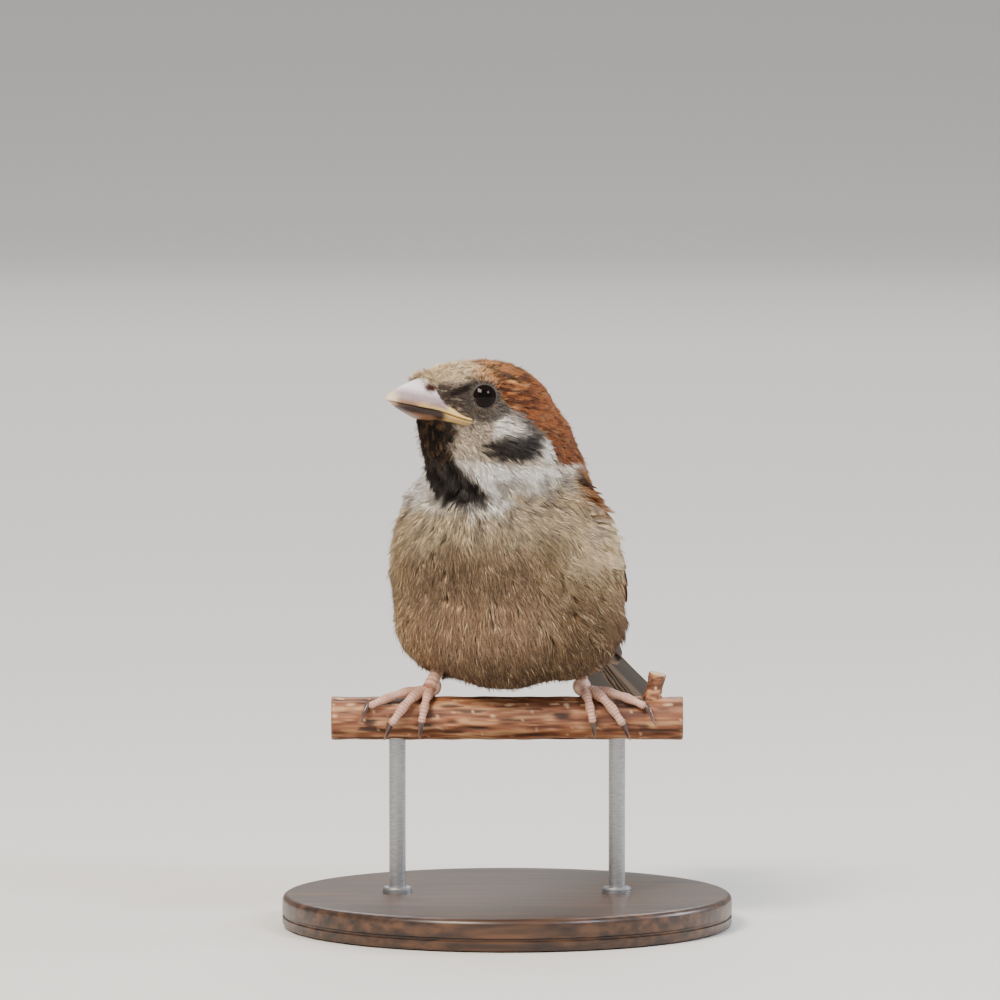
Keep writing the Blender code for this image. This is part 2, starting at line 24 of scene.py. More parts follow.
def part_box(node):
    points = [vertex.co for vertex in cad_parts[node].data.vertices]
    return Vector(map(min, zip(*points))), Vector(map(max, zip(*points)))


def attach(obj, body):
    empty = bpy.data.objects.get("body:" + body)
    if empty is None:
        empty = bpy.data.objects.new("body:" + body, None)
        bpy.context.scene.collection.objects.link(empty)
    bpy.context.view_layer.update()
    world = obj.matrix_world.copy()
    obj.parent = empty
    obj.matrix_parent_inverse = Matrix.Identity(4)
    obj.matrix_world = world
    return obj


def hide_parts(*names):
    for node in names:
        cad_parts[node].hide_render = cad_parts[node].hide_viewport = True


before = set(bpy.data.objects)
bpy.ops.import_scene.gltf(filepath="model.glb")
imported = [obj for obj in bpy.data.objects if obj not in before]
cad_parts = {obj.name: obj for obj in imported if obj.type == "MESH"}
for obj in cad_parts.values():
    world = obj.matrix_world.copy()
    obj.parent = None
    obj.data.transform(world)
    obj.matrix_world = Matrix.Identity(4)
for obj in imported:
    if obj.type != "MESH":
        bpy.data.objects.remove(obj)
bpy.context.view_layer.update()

log = logging.getLogger("tree_sparrow")
MM = 0.001
BAKE_MAP = "OFBake"
PLUMAGE = "plumage"  # the colour attribute of every painted piece
BARB_MAP = "barbs"  # a vane's own map, in metres
SIDES = {"left": 1, "right": -1}
Array = np.ndarray
Material = bpy.types.Material
Mesh = bpy.types.Mesh
Object = bpy.types.Object
Socket = bpy.types.NodeSocket
Tree = bpy.types.NodeTree
Settings = dict[str | int, object]
Pair = tuple[float, float]
Triple = tuple[float, float, float]
Line = tuple[Pair, ...]  # points that values are read between
Layer = tuple[Array | str, Array]  # a colour and how much of it shows at each place


# --- numbers and colours ---


def to_linear(colour: str) -> Triple:
    """Turns an sRGB hex colour to linear light.

    Args:
        colour: Six hex digits, such as "#a96f4f".

    Returns:
        Its red, green and blue in linear light.
    """
    digits = colour.lstrip("#")
    shares = [int(digits[i : i + 2], 16) / 255 for i in (0, 2, 4)]
    return tuple(s / 12.92 if s <= 0.04045 else ((s + 0.055) / 1.055) ** 2.4 for s in shares)


def mix(start: float, end: float, share: float) -> float:
    """Gives the value at a share of the way from start to end."""
    return start + (end - start) * share


def step(low: float, high: float, value: Array | float) -> Array:
    """Steps smoothly from 0 at low to 1 at high; low may be the larger."""
    share = np.clip((np.asarray(value, float) - low) / (high - low), 0.0, 1.0)
    return share * share * (3.0 - 2.0 * share)


def unit(vectors: Array) -> Array:
    """Gives each row its direction, with length one."""
    return vectors / np.maximum(np.linalg.norm(vectors, axis=-1, keepdims=True), 1e-12)


def tangent(vectors: Array, normals: Array) -> Array:
    """Lays each vector into the surface of that normal, with length one."""
    return unit(vectors - normals * np.sum(vectors * normals, axis=-1, keepdims=True))


def plain(colour: str, count: int) -> Array:
    """Gives one colour for each of so many points."""
    return np.tile(to_linear(colour), (count, 1))


def blend(under: Array, *layers: Layer) -> Array:
    """Lays colours over others, in order.

    Args:
        under: Colours, one a row.
        layers: Pairs of one hex colour, or one colour a row, and how much of it shows at each row.

    Returns:
        The mixed colours.
    """
    for over, share in layers:
        top = np.asarray(to_linear(over)) if isinstance(over, str) else over
        under = under + (top - under) * np.asarray(share)[:, None]
    return under


class Grain:
    """Smooth random values in space, the same in each run."""

    def __init__(self, seed: int) -> None:
        """Draws the lattice's values from a seed."""
        self.values = np.random.default_rng(seed).random((32, 32, 32)).astype(np.float32)

    def at(self, places: Array, size: float | Sequence[float]) -> Array:
        """Reads the noise.

        Args:
            places: Points, one a row.
            size: The width of one blotch, or one for each axis, in the points' own unit.

        Returns:
            A value from 0 to 1 for each point.
        """
        scaled = np.asarray(places, float) / np.asarray(size, float) + 512.0
        cell = np.floor(scaled).astype(int)
        part = scaled - cell
        part = part * part * (3.0 - 2.0 * part)
        found = np.zeros(len(scaled))
        for corner in np.ndindex(2, 2, 2):
            index = (cell + corner) % 32
            weight = np.prod(np.where(np.array(corner) == 1, part, 1.0 - part), axis=1)
            found += weight * self.values[tuple(index.T)]
        return found


# --- the bird's frames ---


def turn(axis: str, degrees: float) -> Matrix:
    """Makes a rotation about X, Y or Z."""
    return Matrix.Rotation(radians(degrees), 4, axis)


def shift(*place: float) -> Matrix:
    """Makes a move by a place in millimetres."""
    return Matrix.Translation(Vector(place))


@dataclass(frozen=True)
class Pose:
    """Where the bird and its parts are, as the solids have them."""

    perch_top: float = 42.0
    perch_radius: float = 4.0
    place: Triple = (0.5, 3.0, 0.8)
    yaw: float = -22.0
    trunk_centre: Triple = (0.0, 2.0, 22.0)
    trunk_pitch: float = -30.0
    head_origin: Triple = (-1.8, -16.0, 54.4)
    head_yaw: float = -34.0
    head_pitch: float = -6.0
    tail_root: Triple = (0.0, 24.0, 13.5)
    tail_pitch: float = -27.0

    @property
    def world(self) -> Matrix:
        """Millimetres over the floor, turned to metres."""
        return Matrix.Scale(MM, 4)

    @property
    def body(self) -> Matrix:
        """The bird's own frame."""
        return self.world @ shift(0, 0, self.perch_top) @ shift(*self.place) @ turn("Z", self.yaw)

    @property
    def trunk(self) -> Matrix:
        """The frame of the pitched trunk, which the wings share."""
        return self.body @ shift(*self.trunk_centre) @ turn("X", self.trunk_pitch)

    @property
    def head(self) -> Matrix:
        """The head's frame."""
        at = self.body @ shift(*self.head_origin)
        return at @ turn("Z", self.head_yaw) @ turn("X", self.head_pitch)

    @property
    def tail(self) -> Matrix:
        """The tail's frame, from its root."""
        return self.body @ shift(*self.tail_root) @ turn("X", self.tail_pitch)

    @property
    def perch(self) -> Matrix:
        """The twig's frame, on its middle line."""
        return self.world @ shift(0, 0, self.perch_top - self.perch_radius)


POSE = Pose()


def put(place: Matrix, points: Array) -> Array:
    """Takes points in a frame, in millimetres, to the row's frame, in metres."""
    held = np.array(place)
    return np.asarray(points, float) @ held[:3, :3].T + held[:3, 3]


def read(place: Matrix, points: Array) -> Array:
    """Takes points in the row's frame, in metres, into a frame, in millimetres."""
    return put(place.inverted(), points)


def bearing(place: Matrix, vectors: Array) -> Array:
    """Turns directions of a frame to directions in the row's frame."""
    return unit(np.asarray(vectors, float) @ np.array(place)[:3, :3].T)


# --- markings, which skin and coat share ---


class Tint(StrEnum):
    """The plumage's colours, as sRGB."""

    FOREHEAD = "#dcc49d"
    CROWN = "#ba824f"
    CHESTNUT = "#9b5b31"
    CHESTNUT_DARK = "#55301c"
    CHESTNUT_PALE = "#d3a56c"
    LORE = "#4e3f36"
    LID = "#584f47"
    CHEEK = "#f4eadb"
    CHEEK_GREY = "#7f7468"
    CHEEK_STREAK = "#4a403a"
    SPOT = "#130b09"
    MALAR = "#b9a893"
    BIB = "#130a06"
    BIB_SOFT = "#5c432c"
    COLLAR = "#fff8ec"
    COLLAR_EDGE = "#6f6459"
    BREAST = "#ccb897"
    # the drab lower breast: partly the plumage's own tone, partly painted shade
    BREAST_DEEP = "#8b7259"
    BREAST_GREY = "#85766a"
    # the belly's buff, partly its own colour and partly darkened as painted shade
    BELLY = "#b19172"
    FLANK = "#a78d69"
    # pale fluff; at the sides' outer edges it also stands in for rim light, as painted light
    SHOULDER = "#dcc6a1"
    SCAPULAR = "#74421c"
    # painted shade: dark brown under the belly and low on the bird's right side
    THIGH = "#6f553b"
    VENT = "#d8cdb8"
    MANTLE = "#8a5a2c"
    MANTLE_STREAK = "#1d130e"
    RUMP = "#96754d"


@dataclass(frozen=True)
class Mark:
    """A small slanted oval mark on the side of the head, in the head's frame."""

    colour: str
    ahead: float
    up: float
    length: float
    width: float
    slope: float = 0.0
    ragged: float = 0.0
    edge: Pair = (1.3, 0.7)
    strength: float = 1.0

    def layer(self, head: Array, wander: Array) -> Layer:
        """Gives the mark's layer.

        Args:
            head: Points in the head's frame.
            wander: How far an edge wanders at each.

        Returns:
            The mark's colour and how much of it shows.
        """
        ahead = head[:, 1] - self.ahead
        up = head[:, 2] - self.up - self.slope * ahead
        far = np.hypot(ahead / self.length, up / self.width) + self.ragged * wander
        return self.colour, step(*self.edge, far) * self.strength


@dataclass(frozen=True)
class Markings:
    """The young tree sparrow's pattern, as a colour for each place on its surface."""

    blotch: Grain = field(default_factory=lambda: Grain(3))
    streak: Grain = field(default_factory=lambda: Grain(8))
    eye: Triple = (7.2, -0.9, 0.3)
    cap_edge: Line = (
        (-12.0, 2.0), (-6.5, 2.6), (-2.6, 3.0), (0.2, 2.2), (1.6, 0.2), (4.1, -1.45),
        (7.3, -3.4), (10.2, -5.2), (12.3, -8.4), (13.8, -10.6), (15.5, -10.8), (19.0, -10.6),
    )
    bib_half: Line = ((34.0, 2.6), (36.5, 5.6), (40.0, 5.7), (44.0, 6.1), (48.0, 6.9), (54.0, 7.2))
    cheek_streak: Mark = Mark("#564c46", 8.0, -4.7, 3.0, 1.5, 0.0, 0.3, (1.2, 0.5), 0.7)
    cheek_patch: Mark = Mark("#efe8dc", 11.4, -8.2, 1.2, 2.1, edge=(1.25, 0.8))
    brows: tuple[Mark, ...] = (
        Mark("#241813", -5.3, 1.1, 2.2, 0.62, 0.42, 0.25, strength=0.9),
        Mark("#2e1c15", 1.9, 1.7, 1.5, 0.5, -0.9, edge=(1.3, 0.6), strength=0.8),
        Mark("#2b1a13", 3.4, 4.3, 3.6, 0.42, -0.42, 0.3, strength=0.7),
    )

    def ragged(self, places: Array, size: float, depth: float) -> Array:
        """Gives how far a feathered edge wanders at each place, in millimetres."""
        return depth * (self.streak.at(places, size) - 0.5) * 2.0

    def throat_line(self, body: Array) -> tuple[Array, Array]:
        """Measures round the neck from the throat's middle, which turns with the head.

        Args:
            body: Points in the bird's frame.

        Returns:
            The distance round to each point and its height over the twig.
        """
        height = body[:, 2] + POSE.place[2]
        rise = step(35.0, 47.0, height)
        away_x, away_y = body[:, 0] + 3.6 * rise - 0.4, body[:, 1] + 9.0 + 6.4 * rise
        angle = np.arctan2(away_x, -away_y) - np.radians(POSE.head_yaw * rise)
        angle = (angle + pi) % (2.0 * pi) - pi
        return angle * np.hypot(away_x, away_y), height

    def cap(self, head: Array, wander: Array) -> Array:
        """Colours the cap: buff-grey in front, chestnut behind, with dark and pale streaks.

        Args:
            head: Points in the head's frame.
            wander: How far an edge wanders at each.

        Returns:
            The cap's colours.
        """
        ahead, up = head[:, 1], head[:, 2]
        buff = step(0.4, -6.2, ahead - 0.35 * up + 2.0 * wander)
        dark = self.streak.at(head, (0.55, 2.6, 0.55))
        light = self.blotch.at(head, (0.5, 2.2, 0.5))
        return blend(
            plain(Tint.CHESTNUT, len(head)),
            (Tint.CROWN, step(9.0, 1.0, ahead) * step(0.5, 5.5, up)),
            (Tint.FOREHEAD, buff),
            (Tint.CHESTNUT_DARK, step(0.5, 0.72, dark) * (0.85 - 0.45 * buff)),
            # painted shade: the cap darker low at the back of the head
            (Tint.CHESTNUT_DARK, 0.4 * step(6.5, 11.5, ahead) * step(-2.0, -7.0, up)),
            (Tint.CHESTNUT_PALE, step(0.62, 0.85, light) * (0.5 - 0.25 * step(4.0, 10.0, ahead))),
        )

    def spot(self, head: Array, wander: Array) -> Array:
        """Draws the charcoal cheek spot, which rises to the back.

        Args:
            head: Points in the head's frame.
            wander: How far an edge wanders at each.

        Returns:
            How much of it shows at each.
        """
        ahead, up, lean = head[:, 1] - 4.5, head[:, 2] + 8.1, radians(11.0)
        along = ahead * cos(lean) + up * sin(lean)
        across = up * cos(lean) - ahead * sin(lean)
        far = np.hypot(along / 5.9, across / np.where(across > 0, 2.5, 2.8)) + 0.28 * wander
        far = far + 0.3 * (self.blotch.at(head, (0.5, 1.1, 0.4)) - 0.5)
        return step(1.16, 0.72, far) * (0.95 - 0.2 * step(0.8, 2.2, across))

    def head_colours(self, head: Array, base: Array) -> Array:
        """Lays the cap, face and cheek over a base colour.

        Args:
            head: Points in the head's frame.
            base: Their colours so far.

        Returns:
            Their colours with the head's markings.
        """
        ahead, up = head[:, 1], head[:, 2]
        wander = self.ragged(head, 0.9, 0.55)
        over_cap = up - np.interp(ahead, *zip(*self.cap_edge))
        side = step(-12.6, -10.2, up + wander) * step(15.5, 12.0, ahead)
        cheek = step(-0.6, 1.2, ahead) * step(13.5, 11.0, ahead) * step(-8.8, -6.4, up + 0.3 * ahead)
        lines = step(0.46, 0.72, self.streak.at(head, (0.5, 1.3, 0.35))) * step(1.0, 5.0, ahead)
        streak, shown = self.cheek_streak.layer(head, wander)
        lore = step(-3.4, -4.6, ahead) * step(2.6, 1.2, up) * step(-5.0, -3.6, up + 0.2 * ahead)
        bristle = step(0.55, 0.8, self.streak.at(head, (0.5, 0.9, 0.3)))
        from_eye = np.linalg.norm(np.abs(head * (1, 0, 0)) + head * (0, 1, 1) - self.eye, axis=1)
        return blend(
            base,
            (Tint.MALAR, side),
            (Tint.CHEEK, cheek),
            (Tint.CHEEK_GREY, cheek * step(-3.8, -0.8, over_cap) * 0.85),
            (Tint.CHEEK_STREAK, cheek * lines * 0.75),
            (Tint.SPOT, self.spot(head, wander)),
            (streak, cheek * shown),
            self.cheek_patch.layer(head, wander),
            (Tint.LORE, lore * (0.95 - 0.5 * bristle)),
            (Tint.LID, step(5.4, 4.2, from_eye) * 0.9),
            (self.cap(head, wander), step(-0.5, 0.5, over_cap + wander)),
            *(mark.layer(head, wander) for mark in self.brows),
        )

    def colours(self, places: Array) -> Array:
        """Paints each place on the bird's surface.

        Args:
            places: Points in metres in the row's frame.

        Returns:
            Their colours in linear light, one a row.
        """
        body, head, trunk = (read(place, places) for place in (POSE.body, POSE.head, POSE.trunk))
        around, height = self.throat_line(body)
        left, over = places[:, 0] / MM, places[:, 2] / MM - POSE.perch_top
        aside, along = np.abs(body[:, 0]), trunk[:, 1]
        wander, mottle = self.ragged(body, 1.1, 0.9), self.blotch.at(body, 2.2)
        fleck = step(0.5, 0.78, self.blotch.at(body, (1.1, 1.1, 2.0)))
        # breast, flanks and vent, with painted shade under the belly and low on the right side
        deep = 28.0 + 1.5 * step(-15.0, -8.0, left) * step(17.0, 12.5, left)
        # painted rim light in part: the sides' outer edges paler, along with their own pale fluff
        shoulder = step(14.0, 18.5, aside) * step(21.0, 27.0, height) * step(42.0, 37.0, height)
        # painted shade: the lower right side darker, where it is in shade
        hollow = step(7.5, 11.5, left) * step(24.0, 16.0, height + 2.0 * wander)
        vent = step(6.0, 16.0, body[:, 1]) * step(-3.0, -7.0, trunk[:, 2])
        # buff brown back, with rows of black streaks
        back = step(-1.5, 1.5, trunk[:, 2] - 7.0 + 0.45 * wander + 0.12 * (np.abs(trunk[:, 0]) - 10.0))
        back = back * step(-17.5, -13.0, along + 0.3 * wander)
        rows = step(0.52, 0.8, self.streak.at(trunk, (1.3, 5.0, 2.0)))
        # white collar, flecked with grey, that runs round under the cap
        front = np.maximum(step(11.0, 5.0, np.abs(around)), step(-3.0, -7.0, around))
        low = 39.2 + 3.6 * step(2.0, 13.0, body[:, 1] + 14.0) - 4.2 * front
        collar = step(-1.8, 1.6, height - low + 1.2 * wander)
        band = step(2.2, 0.6, np.abs(height - low - 0.4)) * step(0.45, 0.7, mottle)
        # bib, dark and soft-edged down the throat
        bib = step(1.0, -0.7, np.abs(around) - np.interp(height, *zip(*self.bib_half)) + 0.8 * wander)
        bib = bib * step(34.6, 37.4, height + 1.2 * wander) * step(4.0, 0.0, head[:, 1])
        bib = bib * step(-3.0, -5.0, head[:, 2])
        speckle = step(0.45, 0.75, self.streak.at(body, (0.5, 0.5, 0.9)))
        # chestnut that shows over the left shoulder, under the collar
        patch = step(13.2, 14.8, left + 0.5 * wander) * step(41.2, 39.4, over + 0.6 * wander)
        patch = patch * step(34.8, 36.4, over + 0.4 * (left - 14.2) + 0.6 * wander)
        found = blend(
            plain(Tint.BREAST, len(body)),
            # darker lower breast: partly its own drab tone, partly painted shade
            (Tint.BREAST_DEEP, step(3.5, -3.5, height - deep + 2.0 * wander)),
            # belly: its own buff, darkened in part as painted shade
            (Tint.BELLY, step(23.0, 15.0, height + 2.0 * wander)),
            (Tint.FLANK, step(8.0, 15.0, aside) * 0.65),
            (Tint.SHOULDER, shoulder * 0.7),
            # painted shade under the belly, reaching higher on the right side
            (Tint.THIGH, step(13.0, 5.0, height - 0.2 * left) * 0.8),
            (Tint.THIGH, hollow * 0.85),
            (Tint.VENT, vent),
            (Tint.BREAST_GREY, fleck * step(25.0, 33.0, height) * 0.75),
            (Tint.MANTLE, back),
            (Tint.MANTLE_STREAK, rows * back * step(14.0, 8.0, along) * 0.85),
            (Tint.RUMP, back * step(12.0, 16.0, along)),
            (Tint.COLLAR, collar * (1.0 - 0.4 * step(8.0, 14.0, head[:, 1]))),
            (Tint.BREAST_GREY, collar * fleck * 0.6),
            (Tint.COLLAR_EDGE, band * 0.65),
        )
        return blend(
            found,
            (self.head_colours(head, found), step(-14.2, -11.2, head[:, 2] + wander)),
            (Tint.BIB, bib * (0.96 + 0.04 * step(0.3, 0.6, mottle))),
            (Tint.BIB_SOFT, bib * speckle * step(41.0, 46.0, height) * 0.75),
            (Tint.SCAPULAR, patch),
        )


# --- materials ---


def add_node(tree: Tree, kind: str, settings: Settings | None = None,
             inputs: Settings | None = None) -> bpy.types.Node:
    """Adds a node with its settings, values and links.

    Args:
        tree: The material's nodes.
        kind: The node's type, without "ShaderNode".
        settings: Its own properties by name.
        inputs: A value or a socket for each input by name or number.

    Returns:
        The node.
    """
    node = tree.nodes.new(f"ShaderNode{kind}")
    for name, value in (settings or {}).items():
        setattr(node, name, value)
    for name, value in (inputs or {}).items():
        if isinstance(value, Socket):
            tree.links.new(value, node.inputs[name])
        else:
            node.inputs[name].default_value = value
    return node


def noise(tree: Tree, size_mm: float, detail: float, stretch: Triple) -> Socket:
    """Draws noise with blotches of a real size.

    Args:
        tree: The material's nodes.
        size_mm: The width of a blotch.
        detail: How many finer layers it has.
        stretch: How much finer it is along each axis.

    Returns:
        The noise's value socket.
    """
    place = add_node(tree, "TexCoord").outputs["Object"]
    scaled = add_node(tree, "Mapping", inputs={"Vector": place, "Scale": stretch}).outputs["Vector"]
    size = {"Vector": scaled, "Scale": 1.0 / (size_mm * MM), "Detail": detail}
    return add_node(tree, "TexNoise", inputs=size).outputs[0]


def relief(tree: Tree, height: Socket, depth_mm: float, strength: float) -> Socket:
    """Turns a height to a bump of a real depth and gives its normal socket."""
    inputs = {"Height": height, "Distance": depth_mm * MM, "Strength": strength}
    return add_node(tree, "Bump", inputs=inputs).outputs["Normal"]


def painted(tree: Tree, by: Socket, low: float, high: float) -> Socket:
    """Shades the mesh's own colours by a value from 0 to 1.

    Args:
        tree: The material's nodes.
        by: The value.
        low: What the colours are multiplied by where the value is low.
        high: The same where it is high.

    Returns:
        The shaded colour's socket.
    """
    paint = add_node(tree, "Attribute", {"attribute_name": PLUMAGE}).outputs["Color"]
    span = {"Value": by, "From Min": 0.3, "From Max": 0.7, "To Min": low, "To Max": high}
    gain = add_node(tree, "MapRange", inputs=span).outputs["Result"]
    grey = add_node(tree, "CombineColor", inputs={0: gain, 1: gain, 2: gain}).outputs["Color"]
    setup = {"data_type": "RGBA", "blend_type": "MULTIPLY"}
    return add_node(tree, "Mix", setup, {0: 1.0, 6: paint, 7: grey}).outputs[2]


@dataclass(frozen=True)
class Finish:
    """A surface: its shader's values, and the grain that a subclass draws on it."""

    name: str
    roughness: float
    ior: float = 1.5
    metallic: float = 0.0
    sheen: float = 0.0
    coat: float = 0.0
    subsurface: float = 0.0
    specular: float = 0.5

    def draw(self, tree: Tree) -> Settings:
        """Makes the colour and bump nodes, as inputs of the shader."""
        raise NotImplementedError

    def build(self) -> Material:
        """Makes the material, with one Principled shader.

        Returns:
            The material.
        """
        made = bpy.data.materials.new(self.name)
        made.use_nodes = True
        tree = made.node_tree
        tree.nodes.clear()
        values = {
            "Roughness": self.roughness,
            "Metallic": self.metallic,
            "IOR": self.ior,
            "Specular IOR Level": self.specular,
            "Sheen Weight": self.sheen,
            "Coat Weight": self.coat,
            "Subsurface Weight": self.subsurface,
            "Subsurface Radius": (0.6 * MM, 0.35 * MM, 0.2 * MM),
            "Subsurface Scale": 1.0,
        }
        shader = add_node(tree, "BsdfPrincipled", inputs={**values, **self.draw(tree)})
        add_node(tree, "OutputMaterial", inputs={"Surface": shader.outputs["BSDF"]})
        return made


@dataclass(frozen=True)
class Painted(Finish):
    """A surface whose colours are painted on its mesh, with a fine grain over them."""

    grain_mm: float = 0.5
    depth_mm: float = 0.02
    detail: float = 4.0
    strength: float = 0.6
    stretch: Triple = (1.0, 1.0, 1.0)
    low: float = 0.88
    high: float = 1.1

    def draw(self, tree: Tree) -> Settings:
        """Shades the painted colour with the grain."""
        fine = noise(tree, self.grain_mm, self.detail, self.stretch)
        colour = painted(tree, fine, self.low, self.high)
        return {"Base Color": colour, "Normal": relief(tree, fine, self.depth_mm, self.strength)}


@dataclass(frozen=True)
class Grained(Finish):
    """A surface whose colour runs between stops along a stretched grain."""

    stops: tuple[tuple[float, str], ...] = ()
    grain_mm: float = 1.0
    depth_mm: float = 0.05
    stretch: Triple = (1.0, 1.0, 1.0)

    def draw(self, tree: Tree) -> Settings:
        """Draws the grain's colour and relief.

        Args:
            tree: The material's nodes.

        Returns:
            The shader's inputs.
        """
        value = noise(tree, self.grain_mm, 5.0, self.stretch)
        node = add_node(tree, "ValToRGB", inputs={"Fac": value})
        for i, (place, colour) in enumerate(self.stops):
            stop = node.color_ramp.elements[i] if i < 2 else node.color_ramp.elements.new(place)
            stop.position, stop.color = place, (*to_linear(colour), 1.0)
        bumps = relief(tree, value, self.depth_mm, 0.5)
        return {"Base Color": node.outputs["Color"], "Normal": bumps}


@dataclass(frozen=True)
class Vaned(Finish):
    """A zipped vane: barbs that run slanting out from the shaft, with their own map in metres."""

    barb_mm: float = 0.55
    slant: float = 1.2

    def draw(self, tree: Tree) -> Settings:
        """Shades the painted feather with its barbs.

        Args:
            tree: The material's nodes.

        Returns:
            The shader's inputs.
        """
        place = add_node(tree, "UVMap", {"uv_map": BARB_MAP}).outputs["UV"]
        split = add_node(tree, "SeparateXYZ", inputs={0: place}).outputs
        value = split["X"]
        for operation, *others in (
            ("ABSOLUTE",),
            ("MULTIPLY_ADD", -self.slant, split["Y"]),
            ("MULTIPLY", 2.0 * pi / (self.barb_mm * MM)),
            ("SINE",),
            ("MULTIPLY_ADD", 0.16, 0.5),
        ):
            inputs = dict(enumerate([value, *others]))
            value = add_node(tree, "Math", {"operation": operation}, inputs).outputs[0]
        bumps = relief(tree, value, 0.04, 0.6)
        return {"Base Color": painted(tree, value, 0.86, 1.1), "Normal": bumps}


# Feather barbs scatter light widely: a matt body colour with a faint silky rim.
COAT_FEATHER = Painted("contour_feather_keratin", 0.82, 1.54, specular=0.18, sheen=0.02,
                       grain_mm=0.25, depth_mm=0.03, detail=2.0, strength=0.35, low=0.84, high=1.14)
# Flight feathers have zipped vanes, so they are flatter and shine a little more.
VANE_FEATHER = Vaned("flight_feather_keratin", 0.6, 1.54, specular=0.28)
# Skin under feathers is dull, and seen only as shade between the locks.
UNDER_SKIN = replace(COAT_FEATHER, name="feathered_skin", roughness=0.9, ior=1.45, specular=0.5,
                     sheen=0.0, grain_mm=0.4)
# Bare lid skin: soft, fine-grained and hardly shiny.
LID_SKIN = Painted("eyelid_skin", 0.62, 1.45, grain_mm=0.22, depth_mm=0.06, low=0.7, high=1.25)
# A blown glass eye, polished: a sharp highlight over deep brown.
EYE_GLASS = Painted("blown_glass_eye", 0.05, 1.4, specular=0.16, grain_mm=0.3, depth_mm=0.0)
# Bill keratin is worn smooth by use: satin, and a little light goes into it.
BILL_HORN = Painted("bill_keratin", 0.42, 1.54, specular=0.35, subsurface=0.12, grain_mm=0.35,
                    depth_mm=0.03, low=0.9, high=1.08)
# Scaled leg skin: dry, with a dull shine on each scute.
LEG_SKIN = Painted("scaled_leg_skin", 0.46, 1.5, subsurface=0.12, grain_mm=0.3, depth_mm=0.05)
# Claw keratin: dark, dense and polished by bark.
CLAW_HORN = Painted("claw_keratin", 0.3, 1.54, coat=0.2, grain_mm=0.4, depth_mm=0.01)
# Peeled willow bark: waxy brown streaks along the twig.
TWIG_BARK = Painted("willow_bark", 0.55, 1.5, grain_mm=0.7, depth_mm=0.12,
                    stretch=(0.12, 1.0, 1.0), low=0.72, high=1.2)
# Turned walnut under a hand-rubbed oil: low satin shine, dark pores along the grain.
BASE_WALNUT = Grained("oiled_walnut", 0.38, 1.5, coat=0.15,
                      stops=((0.32, "#1f130c"), (0.48, "#3a2517"), (0.68, "#5a3c26")),
                      grain_mm=1.6, depth_mm=0.03, stretch=(0.07, 1.0, 1.0))
# Stainless rod, drawn and brushed round: soft grey reflections.
ROD_STEEL = Grained("brushed_stainless_steel", 0.44, metallic=1.0,
                    stops=((0.3, "#8f9092"), (0.7, "#b5b6b7")),
                    grain_mm=0.4, depth_mm=0.004, stretch=(0.3, 0.3, 3.0))
# Matt paper: the light floor shows the bird's shadow and no shine.
BACKDROP_PAPER = Grained("matt_backdrop_paper", 0.85, grain_mm=2.0, depth_mm=0.01,
                         stops=((0.0, "#d9d6d0"), (1.0, "#dedbd6")))


# --- meshes ---


def linked(name: str, data: bpy.types.ID) -> Object:
    """Makes an object of a mesh, light or camera and adds it to the scene."""
    obj = bpy.data.objects.new(name, data)
    bpy.context.scene.collection.objects.link(obj)
    return obj


def solid(name: str, points: Array, faces: Array | list[list[int]],
          colours: Array | None = None) -> Object:
    """Makes an object from arrays.

    Args:
        name: The piece's name.
        points: Its points in metres in the row's frame, in rows of x, y and z.
        faces: The points of each face: an array of triangles or quads, or lists of any length.
        colours: A linear colour for each point, or None.

    Returns:
        The object, smooth all over.
    """
    counts = np.array([len(face) for face in faces])
    corners = np.concatenate(faces) if isinstance(faces, list) else faces.ravel()
    mesh = bpy.data.meshes.new(name)
    mesh.vertices.add(points.size // 3)
    mesh.vertices.foreach_set("co", np.asarray(points, np.float32).ravel())
    mesh.loops.add(len(corners))
    mesh.loops.foreach_set("vertex_index", corners.astype(np.int32))
    mesh.polygons.add(len(counts))
    mesh.polygons.foreach_set("loop_start", (np.cumsum(counts) - counts).astype(np.int32))
    mesh.update(calc_edges=True)
    if colours is not None:
        paint(mesh, colours)
    mesh.shade_smooth()
    return linked(name, mesh)


def paint(mesh: Mesh, colours: Array) -> None:
    """Paints a mesh's points with linear colours."""
    held = mesh.color_attributes.new(PLUMAGE, "FLOAT_COLOR", "POINT")
    full = np.ones((colours.size // 3, 4), np.float32)
    full[:, :3] = np.clip(colours.reshape(-1, 3), 0.0, 1.0)
    held.data.foreach_set("color", full.ravel())


def face_out(obj: Object) -> Object:
    """Turns a closed piece's faces outward."""
    bm = bmesh.new()
    bm.from_mesh(obj.data)
    bmesh.ops.recalc_face_normals(bm, faces=bm.faces)
    bm.to_mesh(obj.data)
    bm.free()
    return obj


def add_map(obj: Object, name: str, places: Array) -> None:
    """Adds a UV map with a place for each corner of each face."""
    held = obj.data.uv_layers.new(name=name)
    held.uv.foreach_set("vector", places.astype(np.float32).ravel())


def hand_in(obj: Object, finish: Material, nodes: Sequence[str] = ()) -> Object:
    """Dresses a piece, fixes it to the body and hides the solids that it stands for.

    Args:
        obj: The piece.
        finish: Its material.
        nodes: The solids that it replaces.

    Returns:
        The piece.
    """
    obj.data.materials.clear()
    obj.data.materials.append(finish)
    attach(obj, "root")
    if nodes:
        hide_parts(*nodes)
    log.info("%s: %d faces", obj.name, len(obj.data.polygons))
    return obj


def rows_of(held: Iterable, name: str) -> Array:
    """Reads a mesh's points or normals, one a row."""
    found = np.empty(len(held) * 3, np.float32)
    held.foreach_get(name, found)
    return found.reshape(-1, 3).astype(float)


